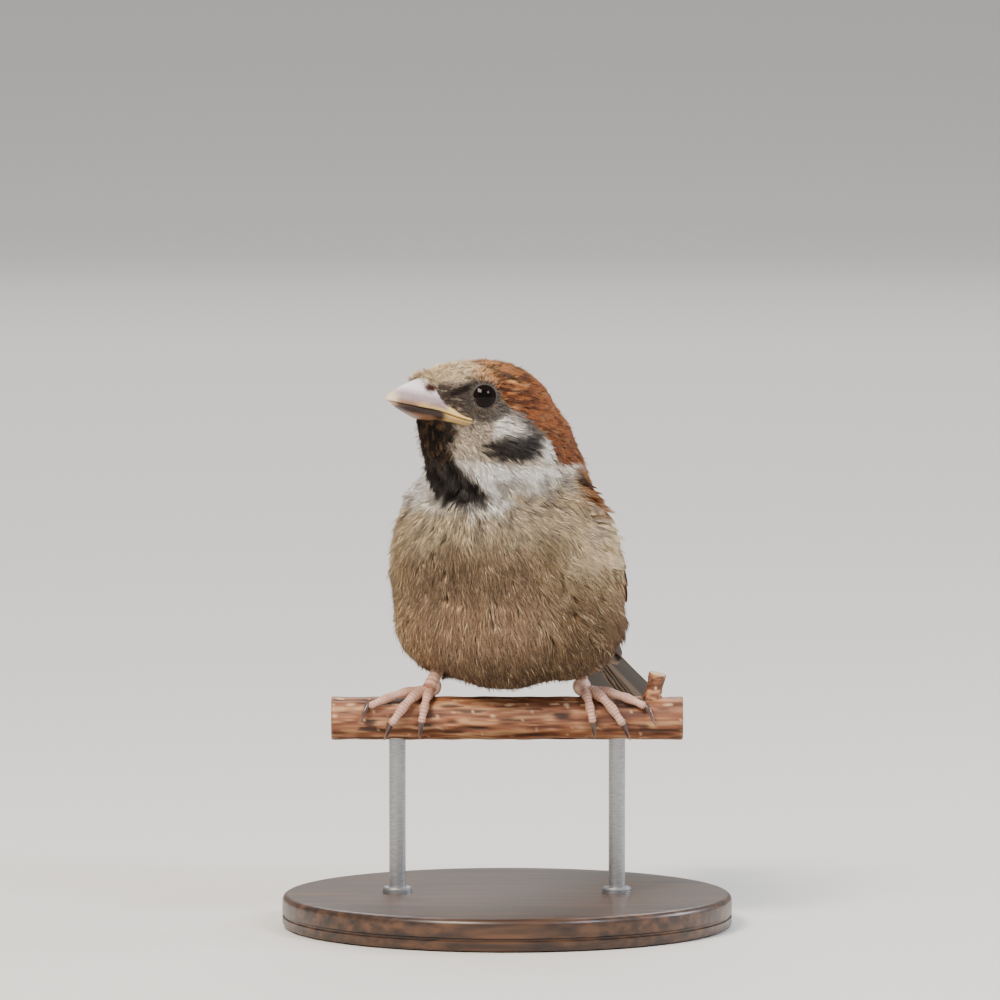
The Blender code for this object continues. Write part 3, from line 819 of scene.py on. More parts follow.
def joined(names: Sequence[str], swell: float) -> Mesh:
    """Joins copies of solids in one mesh, each grown a little.

    Args:
        names: The solids' nodes.
        swell: How far their surfaces move out, in metres.

    Returns:
        The mesh, its pieces still apart.
    """
    bm = bmesh.new()
    for name in names:
        bm.from_mesh(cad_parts[name].data)
    bmesh.ops.remove_doubles(bm, verts=bm.verts, dist=1e-7)
    bm.normal_update()
    for vert in bm.verts:
        vert.co += vert.normal * swell
    mesh = bpy.data.meshes.new("joined")
    bm.to_mesh(mesh)
    bm.free()
    return mesh


def fused(mesh: Mesh, voxel: float, soften: int) -> Mesh:
    """Fuses a mesh into one closed surface and softens it.

    Args:
        mesh: The mesh, which is used up.
        voxel: The width of its new faces, in metres.
        soften: How many times it is smoothed.

    Returns:
        The new mesh.
    """
    obj = linked("fused", mesh)
    obj.modifiers.new("fuse", "REMESH").voxel_size = voxel
    smooth = obj.modifiers.new("soften", "SMOOTH")
    smooth.factor, smooth.iterations = 0.5, soften
    bpy.context.view_layer.update()
    graph = bpy.context.evaluated_depsgraph_get()
    made = bpy.data.meshes.new_from_object(obj.evaluated_get(graph))
    bpy.data.meshes.remove(mesh)
    return made


def unwrapped(points: Array, faces: Array) -> Array:
    """Unwraps triangles by their own shape.

    Args:
        points: Their points.
        faces: The triangles.

    Returns:
        A place on the map for each corner of each triangle.
    """
    obj = solid("unwrap", points, faces)
    obj.data.uv_layers.new(name=BAKE_MAP)
    bpy.context.view_layer.objects.active = obj
    obj.select_set(True)
    bpy.ops.object.mode_set(mode="EDIT")
    bpy.ops.mesh.select_all(action="SELECT")
    bpy.ops.uv.smart_project(angle_limit=1.15, island_margin=0.004, scale_to_bounds=True)
    bpy.ops.object.mode_set(mode="OBJECT")
    found = np.empty(len(faces) * 6, np.float32)
    obj.data.uv_layers[BAKE_MAP].uv.foreach_get("vector", found)
    bpy.data.meshes.remove(obj.data)
    return found.reshape(-1, 3, 2).astype(float)


# --- skin ---


@dataclass
class Skin:
    """The one skin of head, neck, trunk and thighs, inside them by the coat's depth."""

    markings: Markings
    eyes: dict[str, Array]
    nodes: tuple[str, ...] = ("head", "neck", "trunk", "thigh_left", "thigh_right")
    fillings: tuple[str, ...] = ("eye_left", "eye_right", "bill_upper", "bill_lower")
    swell: float = 0.3  # closes the thin cuts between the solids
    voxel: float = 0.55
    body_depth: float = 1.25
    head_depth: float = 0.75
    face_depth: float = 0.3
    shade: float = 0.8  # of the plumage's colour, between the locks

    def coat_depth(self, places: Array) -> Array:
        """Gives the coat's depth over the skin.

        Args:
            places: Points in metres.

        Returns:
            The depth at each, in millimetres.
        """
        head = read(POSE.head, places)
        on_head = step(-13.5, -8.5, head[:, 2]) * step(22.0, 17.0, head[:, 1])
        depth = mix(self.body_depth, self.head_depth, on_head)
        depth = mix(depth, self.face_depth, on_head * step(4.0, -3.5, head[:, 1]))
        for centre in self.eyes.values():
            far = np.linalg.norm(places - centre, axis=1) / MM
            depth = mix(depth, self.face_depth, step(6.5, 4.2, far))
        return depth

    def build(self) -> Object:
        """Makes the skin from the solids' surfaces.

        Returns:
            The skin's object.
        """
        mesh = fused(joined(self.nodes + self.fillings, self.swell * MM), self.voxel * MM, 6)
        points = rows_of(mesh.vertices, "co")
        inwards = (self.swell + self.coat_depth(points)) * MM
        points -= rows_of(mesh.vertex_normals, "vector") * inwards[:, None]
        mesh.vertices.foreach_set("co", points.astype(np.float32).ravel())
        mesh = fused(mesh, self.voxel * MM, 4)
        mesh.name = "skin"
        paint(mesh, self.markings.colours(rows_of(mesh.vertices, "co")) * self.shade)
        mesh.shade_smooth()
        return linked("skin", mesh)


@dataclass
class Surface:
    """The skin as arrays, to set feathers on."""

    points: Array
    normals: Array
    faces: Array
    tree: BVHTree

    @classmethod
    def of(cls, obj: Object) -> "Surface":
        """Reads an object's mesh as triangles.

        Args:
            obj: The skin.

        Returns:
            Its surface.
        """
        mesh = obj.data
        mesh.calc_loop_triangles()
        faces = np.empty(len(mesh.loop_triangles) * 3, np.int32)
        mesh.loop_triangles.foreach_get("vertices", faces)
        points, faces = rows_of(mesh.vertices, "co"), faces.reshape(-1, 3)
        tree = BVHTree.FromPolygons(points.tolist(), faces.tolist())
        return cls(points, rows_of(mesh.vertex_normals, "vector"), faces, tree)

    @property
    def middles(self) -> Array:
        """The middle of each face."""
        return self.points[self.faces].mean(1)

    def nearest(self, places: Array) -> tuple[Array, Array]:
        """Finds the surface's nearest point to each place.

        Args:
            places: Points in metres.

        Returns:
            The points on the surface and the face normals there.
        """
        found = [self.tree.find_nearest(place) for place in places.tolist()]
        return tuple(np.array([hit[i] for hit in found]).reshape(-1, 3) for i in (0, 1))


# --- coat ---


class Region(StrEnum):
    """The parts of the coat, each with a map of its own."""

    FACE = "face"
    CROWN = "crown"
    THROAT = "throat"
    BREAST = "breast"
    LEFT = "left_flank"
    RIGHT = "right_flank"
    BELLY = "belly"
    BACK = "back"


@dataclass(frozen=True)
class Lie:
    """How the coat grows in one region: lengths in millimetres, density for each square one."""

    density: float
    length: float
    width: float
    clump: float  # width of one feather
    gather: float  # how far the tips of a feather draw together
    tilt: float  # degrees that feathers lie out of line
    tone: float  # how much locks differ in lightness


LIES = {
    Region.FACE: Lie(34.0, 1.15, 0.13, 0.7, 0.25, 14.0, 0.34),
    Region.CROWN: Lie(24.0, 2.1, 0.17, 1.1, 0.32, 9.0, 0.3),
    Region.THROAT: Lie(22.0, 2.7, 0.18, 1.3, 0.3, 12.0, 0.3),
    Region.BREAST: Lie(21.0, 3.7, 0.19, 1.7, 0.2, 11.0, 0.42),
    Region.LEFT: Lie(18.0, 4.1, 0.2, 2.0, 0.2, 13.0, 0.42),
    Region.RIGHT: Lie(14.0, 4.1, 0.24, 2.0, 0.3, 13.0, 0.36),
    Region.BELLY: Lie(17.0, 4.3, 0.21, 2.0, 0.2, 12.0, 0.38),
    Region.BACK: Lie(9.0, 3.6, 0.3, 2.4, 0.5, 9.0, 0.2),
}
LOOSE = (Region.LEFT, Region.RIGHT, Region.BELLY)


@dataclass
class Tufts:
    """Locks as arrays, one a row: where each grows and what it looks like."""

    root: Array
    normal: Array
    spot: Array  # its root's place on the map
    ahead: Array
    length: Array
    width: Array
    depth: Array
    lift: Array
    colour: Array
    tone: Array

    def part(self, chosen: Array) -> "Tufts":
        """Gives some of the locks."""
        return Tufts(**{name: value[chosen] for name, value in vars(self).items()})


def nearest_rows(middles: Array, places: Array) -> Array:
    """Finds the nearest middle to each place.

    Args:
        middles: Points, one a row.
        places: More points.

    Returns:
        The row of a middle for each place.
    """
    tree = KDTree(len(middles))
    for row, middle in enumerate(middles.tolist()):
        tree.insert(middle, row)
    tree.balance()
    return np.array([tree.find(place)[1] for place in places.tolist()])


@dataclass
class Coat:
    """The coat of small feathers, as locks of barbs that follow the body's flow."""

    surface: Surface
    skin: Skin
    markings: Markings
    eyes: dict[str, Array]
    most: int = 19500  # locks in one piece
    patch: float = 0.003  # width of a lock's patch on the map
    eye_clear: float = 3.4  # no lock grows nearer to the middle of an eye
    bill_clear: float = 0.22
    rng: np.random.Generator = field(default_factory=lambda: np.random.default_rng(21))

    def regions(self, places: Array) -> Array:
        """Sorts places into regions.

        Args:
            places: Points in metres.

        Returns:
            Each one's region, as its number in Region.
        """
        frames = (POSE.body, POSE.head, POSE.trunk)
        (left, _, height), (_, ahead, up), (_, along, over) = (read(f, places).T for f in frames)
        order = list(Region)
        found = np.full(len(places), order.index(Region.BREAST))
        for kind, here in (
            (Region.BELLY, height < 19.0),
            (Region.LEFT, left > 11.5),
            (Region.RIGHT, left < -11.5),
            (Region.BACK, (over > 3.5) & (along > -15.5) | (along > 24.0)),
            (Region.THROAT, (height > 36.0) & (ahead < 12.0)),
            (Region.FACE, (up > -8.0) & (ahead < 2.0)),
            (Region.CROWN, (up > -4.0 - 0.6 * (ahead - 2.0)) & (ahead >= 2.0) & (up > -13.5)),
        ):
            found[here] = order.index(kind)
        return found

    def flow(self, places: Array, normals: Array) -> Array:
        """Gives the direction in which the coat lies.

        Args:
            places: Points in metres.
            normals: The surface's normals there.

        Returns:
            A direction along the surface for each.
        """
        bill, throat = (put(POSE.head, place) for place in ((0.0, -11.5, 0.5), (0.0, -2.0, -4.0)))
        tailwards = bearing(POSE.trunk, (0.0, 1.0, -0.12))
        down = 0.75 * unit(places - throat) + 0.55 * tailwards
        share = step(-7.0, -15.0, read(POSE.head, places)[:, 2])[:, None]
        found = unit(places - bill) * (1.0 - share) + unit(down) * share
        for centre in self.eyes.values():
            away = places - centre
            near = step(6.0, 3.4, np.linalg.norm(away, axis=1) / MM)[:, None]
            found = found + 0.9 * near * unit(away)
        return tangent(found, normals)

    def density(self, places: Array, region: Array) -> Array:
        """Gives how many locks grow on a square millimetre, fewer under the folded wings."""
        aside, along, up = read(POSE.trunk, places).T
        under_wing = (along > -9.0) & (along < 22.0) & (up > -4.0) & (np.abs(aside) > 10.0)
        found = np.array([LIES[kind].density for kind in Region])[region]
        return np.where(under_wing, found * 0.35, found)

    def grow(self) -> list[Object]:
        """Grows every region's locks.

        Returns:
            The coat's pieces.
        """
        middles = self.surface.middles
        region = self.regions(middles)
        thick = self.density(middles, region)
        pieces = []
        for number, kind in enumerate(Region):
            chosen = np.flatnonzero(region == number)
            tufts = self.plant(kind, chosen, thick[chosen])
            shares = ceil(len(tufts.root) / self.most)
            order = self.rng.permutation(len(tufts.root))
            for part in range(shares):
                name = f"coat_{kind}" + (f"_{part + 1}" if shares > 1 else "")
                pieces.append(self.mesh(name, tufts.part(order[part::shares])))
        pieces.append(self.mesh("coat_bristles", self.bristles(), free=True))
        pieces.append(self.mesh("coat_shoulder_plumes", self.plumes(), free=True))
        return pieces

    def sown(self, chosen: Array, pick: Array) -> tuple[Array, Array, Array]:
        """Sets a root at a random place in each picked face.

        Args:
            chosen: The skin's faces that share one map.
            pick: Rows of chosen, one for each root.

        Returns:
            The roots, the skin's normals there and their places on the map.
        """
        faces = self.surface.faces[chosen]
        used, local = np.unique(faces, return_inverse=True)
        maps = unwrapped(self.surface.points[used], local.reshape(-1, 3))
        share = self.rng.random((len(pick), 2))
        share = np.where(share.sum(1, keepdims=True) > 1.0, 1.0 - share, share)
        weight = np.column_stack([1.0 - share.sum(1), share])[:, :, None]
        root, normal, spot = (
            (held * weight).sum(1)
            for held in (self.surface.points[faces[pick]], self.surface.normals[faces[pick]], maps[pick])
        )
        return root, unit(normal), spot

    def plumes(self, groups: int = 76, each: int = 60) -> Tufts:
        """Raises the loose plumes that stand off the bird's left shoulder.

        Args:
            groups: How many plumes.
            each: Barbs in one.

        Returns:
            Their barbs.
        """
        rng, count = self.rng, groups * each
        left, _, over = (self.surface.middles / MM - (0.0, 0.0, POSE.perch_top)).T
        _, along, up = read(POSE.trunk, self.surface.middles).T
        facing = self.surface.normals[self.surface.faces].mean(1)
        rim = (left > 12.5) & (over > 13.0) & (over < 39.0) & (facing[:, 0] > 0.4)
        rim &= (along < -8.0) | (up < -5.0)  # not under the folded wing
        chosen = np.flatnonzero(rim & (np.abs(facing[:, 1]) < 0.75))
        root, normal, spot = self.sown(chosen, rng.integers(0, len(chosen), count))
        own = nearest_rows(root[:groups], root)
        flow = self.flow(root, normal)
        left, _, over = (root / MM - (0.0, 0.0, POSE.perch_top)).T
        # painted rim light in part: plumes at the left edge paler, along with their own pale fluff
        pale = step(37.2, 35.2, over + 0.4 * (left - 14.2)) * step(14.0, 18.0, left)
        pale = pale * step(18.0, 28.0, over)
        free = mix(0.3, 1.0, pale[own])[:, None]
        lean = rng.uniform(0.1, 0.46, groups)[own][:, None] * free
        slant = 0.3 * rng.standard_normal(groups)[own][:, None]
        rise = np.array((0.0, 0.0, 0.8)) * rng.random(groups)[own][:, None] ** 3 * free
        ahead = unit(flow + lean * normal + slant * np.cross(normal, flow) + rise)
        length = rng.uniform(2.8, 4.6, groups)[own] * rng.uniform(0.75, 1.1, count)
        reach = length[:, None] * MM
        tip = mix(root + ahead * reach, root[own] + ahead[own] * reach, 0.55)
        colour = blend(self.markings.colours(root), (Tint.SHOULDER, 0.8 * pale))
        width, tone = rng.uniform(0.12, 0.22, count), rng.uniform(0.75, 1.35, count)
        depth, lift = np.full(count, 1.2), np.zeros(count)
        return Tufts(root, normal, spot, unit(tip - root), length, width, depth, lift, colour, tone)

    def bristles(self, above: int = 420, below: int = 220) -> Tufts:
        """Sets the fine bristles that lean forward over the bill's base and hang at the chin.

        Args:
            above: How many lean over the bill.
            below: How many hang at the chin.

        Returns:
            The bristles.
        """
        rng, count = self.rng, above + below
        _, along, up = read(POSE.head, self.surface.middles).T
        over = (along < -8.3) & (along > -10.6) & (up > 0.9)
        chin = (along < -4.5) & (up < -5.4) & (up > -12.5)
        chosen = np.flatnonzero(over | chin)
        rows = [(np.flatnonzero(here[chosen]), many) for here, many in ((over, above), (chin, below))]
        pick = np.concatenate([found[rng.integers(0, len(found), many)] for found, many in rows])
        upper = over[chosen][pick]
        root, normal, spot = self.sown(chosen, pick)
        lean = np.where(upper[:, None], (0.0, -1.0, 0.42), (0.0, -0.5, -0.85))
        lean = lean + 0.28 * rng.standard_normal((count, 3))
        ahead = unit(bearing(POSE.head, lean) + 0.35 * normal)
        length = np.where(upper, rng.uniform(1.0, 1.9, count), rng.uniform(0.8, 1.6, count))
        colour = blend(self.markings.colours(root), ("#d9c3a0", upper * 0.5))
        width, tone = rng.uniform(0.07, 0.12, count), rng.uniform(0.6, 1.3, count)
        depth, lift = np.full(count, 0.5), np.zeros(count)
        return Tufts(root, normal, spot, ahead, length, width, depth, lift, colour, tone)

    def plant(self, kind: Region, chosen: Array, thick: Array) -> Tufts:
        """Sets one region's locks.

        Args:
            kind: The region.
            chosen: Its faces on the skin.
            thick: The density at each.

        Returns:
            Its locks.
        """
        corners = self.surface.points[self.surface.faces[chosen]]
        area = np.cross(corners[:, 1] - corners[:, 0], corners[:, 2] - corners[:, 0])
        area = 0.5 * np.linalg.norm(area, axis=1) / MM**2
        total = np.cumsum(area * thick)
        count = int(total[-1])
        pick = np.searchsorted(total, (np.arange(count) + self.rng.random(count)) / count * total[-1])
        root, normal, spot = self.sown(chosen, np.minimum(pick, len(chosen) - 1))
        keep = self.clear(root, normal)
        return self.dress(kind, root[keep], normal[keep], spot[keep])

    def clear(self, root: Array, normal: Array) -> Array:
        """Says which locks are clear of the eyes and the bill.

        Args:
            root: Where they would grow.
            normal: The skin's normals there.

        Returns:
            True for each that is.
        """
        outside = root + normal * (self.skin.coat_depth(root) * MM)[:, None]
        _, along, up = read(POSE.head, outside).T
        keep = (along >= -10.4) | (up <= -4.6)
        for centre in self.eyes.values():
            keep &= np.linalg.norm(outside - centre, axis=1) > self.eye_clear * MM
        for name in ("bill_upper", "bill_lower"):
            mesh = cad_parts[name].data
            mesh.calc_loop_triangles()
            faces = [face.vertices for face in mesh.loop_triangles]
            tree = BVHTree.FromPolygons([vert.co for vert in mesh.vertices], faces)
            for row in np.flatnonzero(along < -2.0):
                place, facing, _, _ = tree.find_nearest(outside[row], 0.0005)
                if place is not None:
                    keep[row] &= (Vector(outside[row]) - place).dot(facing) > self.bill_clear * MM
        return keep

    def dress(self, kind: Region, root: Array, normal: Array, spot: Array) -> Tufts:
        """Gives each lock its feather's lie, and its own size and colour.

        Args:
            kind: The region.
            root: Where its locks grow.
            normal: The skin's normals there.
            spot: Their places on the map.

        Returns:
            The locks.
        """
        lie, rng, count = LIES[kind], self.rng, len(root)
        every = max(int(lie.density * lie.clump**2 * 0.8), 1)
        heads = rng.permutation(count)[: max(count // every, 1)]
        own = nearest_rows(root[heads], root)

        flow = self.flow(root, normal)
        tilt = np.radians(lie.tilt) * rng.standard_normal(len(heads))[own]
        tilt = tilt + np.radians(lie.tilt * 0.45) * rng.standard_normal(count)
        ahead = flow * np.cos(tilt)[:, None] + np.cross(normal, flow) * np.sin(tilt)[:, None]
        size = np.full(count, lie.length)
        if kind is Region.FACE:
            size = mix(0.62, 1.5, step(-10.0, 1.0, read(POSE.head, root)[:, 1])) * 1.1
            for middle in self.eyes.values():
                far = np.linalg.norm(root - middle, axis=1) / MM
                size = size * mix(0.5, 1.0, step(3.4, 5.6, far))
        if kind in LOOSE:
            size = size * mix(0.75, 1.0, step(4.0, 12.0, read(POSE.body, root)[:, 2]))
        length = size * rng.uniform(0.7, 1.15, count) * rng.uniform(0.88, 1.12, len(heads))[own]
        along = ahead * (length * MM)[:, None]
        ahead = tangent(unit(mix(root + along, root[heads][own] + along, lie.gather) - root), normal)
        tone = 1.0 + lie.tone * np.clip(rng.standard_normal(count), -2.0, 2.0)
        tone = tone * (1.0 + 0.3 * lie.tone * rng.standard_normal(len(heads)))[own]
        lift = np.abs(rng.standard_normal(len(heads)))[own] * 0.14 + rng.random(count) * 0.2
        loose = rng.random(count) < (0.07 if kind in LOOSE else 0.02)
        lift = np.where(loose, lift + rng.uniform(0.3, 0.9, count), lift)
        depth = self.skin.coat_depth(root) * (0.5 if kind is Region.BACK else 1.0)
        width = lie.width * rng.uniform(0.75, 1.25, count) * (size / lie.length) ** 0.5
        colour = self.markings.colours(root + ahead * (0.5 * length * MM)[:, None])
        # a few random locks are pale, in the plumage's own colour
        if kind in (Region.BREAST, *LOOSE):
            colour = blend(colour, (Tint.SHOULDER, (rng.random(count) < 0.16) * 0.45))
        tone = np.clip(tone, 0.4, 1.6)
        return Tufts(root, normal, spot, ahead, length, width, depth, lift, colour, tone)

    def mesh(self, name: str, tufts: Tufts, free: bool = False) -> Object:
        """Makes locks: closed thin blades that bend over the body to a point.

        Args:
            name: The piece's name.
            tufts: Its locks.
            free: Whether they stand straight out instead of following the body.

        Returns:
            The piece.
        """
        count, half = len(tufts.root), tufts.width * 0.5 * MM
        rings, normal = [], tufts.normal
        for along, rise, wide in ((0.0, -0.12, 0.75), (0.5, 0.62, 1.0), (1.0, 0.88, 0.0)):
            place = tufts.root + tufts.ahead * (tufts.length * along * MM)[:, None]
            if along > 0.0 and not free:
                place, normal = self.surface.nearest(place)
            high = tufts.depth * MM * rise + tufts.lift * along**2 * MM
            middle = place + normal * high[:, None]
            across = unit(np.cross(normal, tufts.ahead)) * (half * wide)[:, None]
            ridge = middle + normal * (half * wide * 0.7)[:, None]
            rings += [middle - across, middle + across, ridge] if wide else [middle]
        pattern = [(0, 1, 2), (0, 3, 4), (0, 4, 1), (1, 4, 5), (1, 5, 2), (2, 5, 3), (2, 3, 0),
                   (3, 6, 4), (4, 6, 5), (5, 6, 3)]
        faces = (np.array(pattern) + (np.arange(count) * 7)[:, None, None]).reshape(-1, 3)
        # each lock darker at its root, partly for the feathers' own grey bases and partly as painted shade
        # between the locks; its middle's sides a little darker than its ridge, as painted shade; paler at the
        # tip
        shades = np.array([0.74, 0.74, 0.74, 0.95, 0.95, 1.0, 1.12])
        colours = tufts.colour[:, None] * (tufts.tone[:, None] * shades)[:, :, None]
        obj = solid(name, np.stack(rings, 1), faces, colours)
        offsets = np.array([(-1, -1), (1, -1), (0, -1), (-1, 0), (1, 0), (0, 0), (0, 1)]) * 0.5
        spots = tufts.spot[:, None] + offsets[None] * self.patch
        add_map(obj, BAKE_MAP, np.clip(spots.reshape(-1, 2)[faces.ravel()], 0.0, 1.0))
        return obj


# --- lofts ---


def loft(name: str, rings: Array, colours: Array | None = None) -> Object:
    """Joins rings of points into one closed piece with flat ends.

    Args:
        name: The piece's name.
        rings: Points in metres: ring, place round it, then x, y and z.
        colours: A linear colour for each point, or None.

    Returns:
        The piece.
    """
    grid = np.arange(rings.size // 3).reshape(rings.shape[:2])
    after = np.roll(grid, -1, axis=1)
    quads = np.stack([grid[:-1], after[:-1], after[1:], grid[1:]], -1).reshape(-1, 4)
    return face_out(solid(name, rings, [*quads.tolist(), grid[0, ::-1].tolist(), grid[-1].tolist()], colours))


def circle(count: int) -> Array:
    """Gives evenly spaced angles once round."""
    return np.arange(count) * 2.0 * pi / count


def tube_rings(line: Array, radii: Array, around: int, flat: float = 1.0) -> Array:
    """Lays rings square to a line.

    Args:
        line: Points along it.
        radii: The radius at each, or at each place round each.
        around: Points in a ring.
        flat: The rings' height as a share of their width.

    Returns:
        The rings, in the line's own unit.
    """
    ahead = unit(np.gradient(line, axis=0))
    across = [unit(np.cross(ahead[0], (0.0, 0.3, 1.0) if abs(ahead[0][2]) < 0.8 else (1.0, 0, 0)))]
    for direction in ahead[1:]:
        across.append(tangent(across[-1], direction))
    up, angle = np.cross(ahead, across), circle(around)[None, :, None]
    ring = np.array(across)[:, None] * np.cos(angle) + flat * up[:, None] * np.sin(angle)
    return line[:, None] + ring * radii.reshape(len(line), -1, 1)


# --- head: eyes, lids and bill ---


@dataclass
class Eye:
    """A glass eye with its cornea, the ring of lid skin round it and the small feathers over that."""

    word: str
    centre: Array
    radius: float = 3.3
    pupil: float = 1.2
    ahead: float = 27.0  # degrees that it looks ahead of square
    cornea: float = 0.16  # how far the cornea stands out
    opening: float = 2.02
    beads: int = 30
    lash_bed: Line = (  # reach from the gaze, and how far out along it the small feathers root
        (2.2, 2.6), (2.32, 2.44), (2.42, 2.3), (2.54, 2.18), (2.66, 1.97), (2.8, 1.7), (3.5, 0.9)
    )

    def axes(self) -> Array:
        """Gives the gaze, and the two directions across it, as rows."""
        angle = radians(self.ahead)
        gaze = bearing(POSE.head, (SIDES[self.word] * cos(angle), -sin(angle), 0.0))
        up = tangent(bearing(POSE.head, (0.0, 0.0, 1.0)), gaze)
        return np.stack([gaze, np.cross(up, gaze), up])

    def place(self, reach: Array, out: Array, angle: Array) -> Array:
        """Puts points at a reach from the gaze and a distance out along it, in millimetres."""
        local = np.stack([out, reach * np.cos(angle), reach * np.sin(angle)], -1)
        return self.centre + local @ self.axes() * MM

    def ball(self) -> Object:
        """Makes the eyeball: black pupil, deep brown iris and a clear bulge over them.

        Returns:
            The piece.
        """
        polar = np.radians([*np.linspace(1.0, 50.0, 34), *np.linspace(54.0, 179.0, 20)])
        rim = asin(self.opening / self.radius)
        bulge = self.cornea * np.clip(1.0 - (polar / rim) ** 2, 0.0, 1.0) ** 2
        reach, out = self.radius * np.sin(polar), (self.radius + bulge) * np.cos(polar)
        reach, out, angle = np.broadcast_arrays(reach[:, None], out[:, None], circle(64))
        wide = reach.ravel()
        iris = step(self.pupil, self.pupil + 0.12, wide) * step(self.opening, self.opening - 0.25, wide)
        colours = blend(plain("#0a0605", reach.size), ("#150b07", iris))
        return loft(f"glass_eye_{self.word}", self.place(reach, out, angle), colours)

    def lid(self) -> Object:
        """Makes the lid's ring: a smooth inner rim and two rows of tiny scales.

        Returns:
            The piece, a closed hoop.
        """
        profile = (  # reach, height over the ball, how much each row of scales swells it
            (1.96, -0.25, 0.0, 0.0), (self.opening - 0.02, 0.0, 0.0, 0.0),
            (self.opening + 0.06, 0.13, 0.0, 0.0), (2.24, 0.17, 0.3, 0.0), (2.32, 0.1, 1.0, 0.0),
            (2.42, 0.05, 0.2, 0.3), (2.54, 0.02, 0.0, 1.0), (2.66, -0.12, 0.0, 0.3),
            (2.8, -0.4, 0.0, 0.0), (2.8, -0.9, 0.0, 0.0), (2.2, -0.9, 0.0, 0.0),
        )
        angle = circle(self.beads * 8)
        inner, outer = (np.abs(wave(angle * self.beads / 2.0)) for wave in (np.sin, np.cos))
        warm = np.random.default_rng(5).random(self.beads + 1)
        warm = warm[(angle / (2 * pi) * self.beads).astype(int)]
        rows, colours = [], []
        for reach, over, first, second in profile:
            base = sqrt(max(self.radius**2 - min(reach, 3.2) ** 2, 0.04))
            lift = over + 0.07 * first * inner + 0.09 * second * outer
            out = max(base, 2.5 - 0.62 * (reach - 2.0)) + lift
            rows.append(self.place(np.full(len(angle), reach), out, angle))
            # painted shade: darker in the troughs between the tiny scales
            shade_between_scales = (1.0 - inner) * first * 0.8 + (1.0 - outer) * second * 0.8
            low = step(0.2, -0.7, np.sin(angle)) * second * outer
            base = plain("#463d37" if reach > 2.15 else "#17120f", len(angle))
            colours.append(blend(base, ("#2b241f", shade_between_scales), ("#b39462", low * (warm > 0.35) * 0.9)))
        rings = np.stack(rows, 1)
        grid = np.arange(rings.size // 3).reshape(rings.shape[:2])
        ahead, beside = np.roll(grid, -1, axis=0), np.roll(grid, -1, axis=1)
        quads = np.stack([grid, ahead, np.roll(ahead, -1, axis=1), beside], -1).reshape(-1, 4)
        return face_out(solid(f"eyelid_{self.word}", rings, quads, np.stack(colours, 1)))

    def lashes(self, markings: Markings, count: int = 420, more: int = 380) -> Tufts:
        """Sets the tiny feathers that lie outward over the lid's ring.

        Args:
            markings: The plumage's colours.
            count: How many feathers grow on the ring.
            more: How many larger ones fill the hollow over and behind it.

        Returns:
            The feathers, on a map wound out from the gaze.
        """
        rng = np.random.default_rng(31)
        behind = pi * (0.5 - 0.25 * SIDES[self.word])
        angle = rng.uniform(0.0, 2.0 * pi, count)
        angle = np.append(angle, rng.uniform(behind - 1.3, behind + 1.3, more))
        reach = np.append(rng.uniform(2.24, 2.85, count), rng.uniform(2.6, 3.5, more))
        large = np.arange(count + more) >= count
        count += more
        out = np.interp(reach, *zip(*self.lash_bed))
        root = self.place(reach, out, angle)
        gaze, away = self.axes()[0], unit(self.place(reach + 1.0, out, angle) - root)
        normal = unit(0.85 * gaze + 0.5 * away)
        lean = np.radians(rng.uniform(14.0, 44.0, count) + 8.0 * large)[:, None]
        ahead = np.cos(lean) * away - np.sin(lean) * gaze
        ahead = unit(ahead + 0.25 * rng.standard_normal((count, 3)))
        chance, below = rng.random(count), step(0.1, -0.6, np.sin(angle))
        colour = blend(markings.colours(root), ("#171210", (chance < 0.3) * ~large * 0.8),
                       ("#b39462", (chance > 0.72) * below * 0.8))
        spot = 0.5 + 0.13 * reach[:, None] * np.stack([np.cos(angle), np.sin(angle)], 1)
        size = np.where(large, 1.7, 1.0)
        length, width = rng.uniform(0.45, 0.85, count) * size, rng.uniform(0.07, 0.12, count) * size
        depth, lift, tone = np.full(count, 0.16), np.zeros(count), rng.uniform(0.6, 1.5, count)
        return Tufts(root, normal, spot, ahead, length, width, depth, lift, colour, tone)

    def build(self, glass: Material, skin: Material) -> None:
        """Makes and dresses the eye and its lid."""
        hand_in(self.ball(), glass, [f"eye_{self.word}"])
        hand_in(self.lid(), skin)


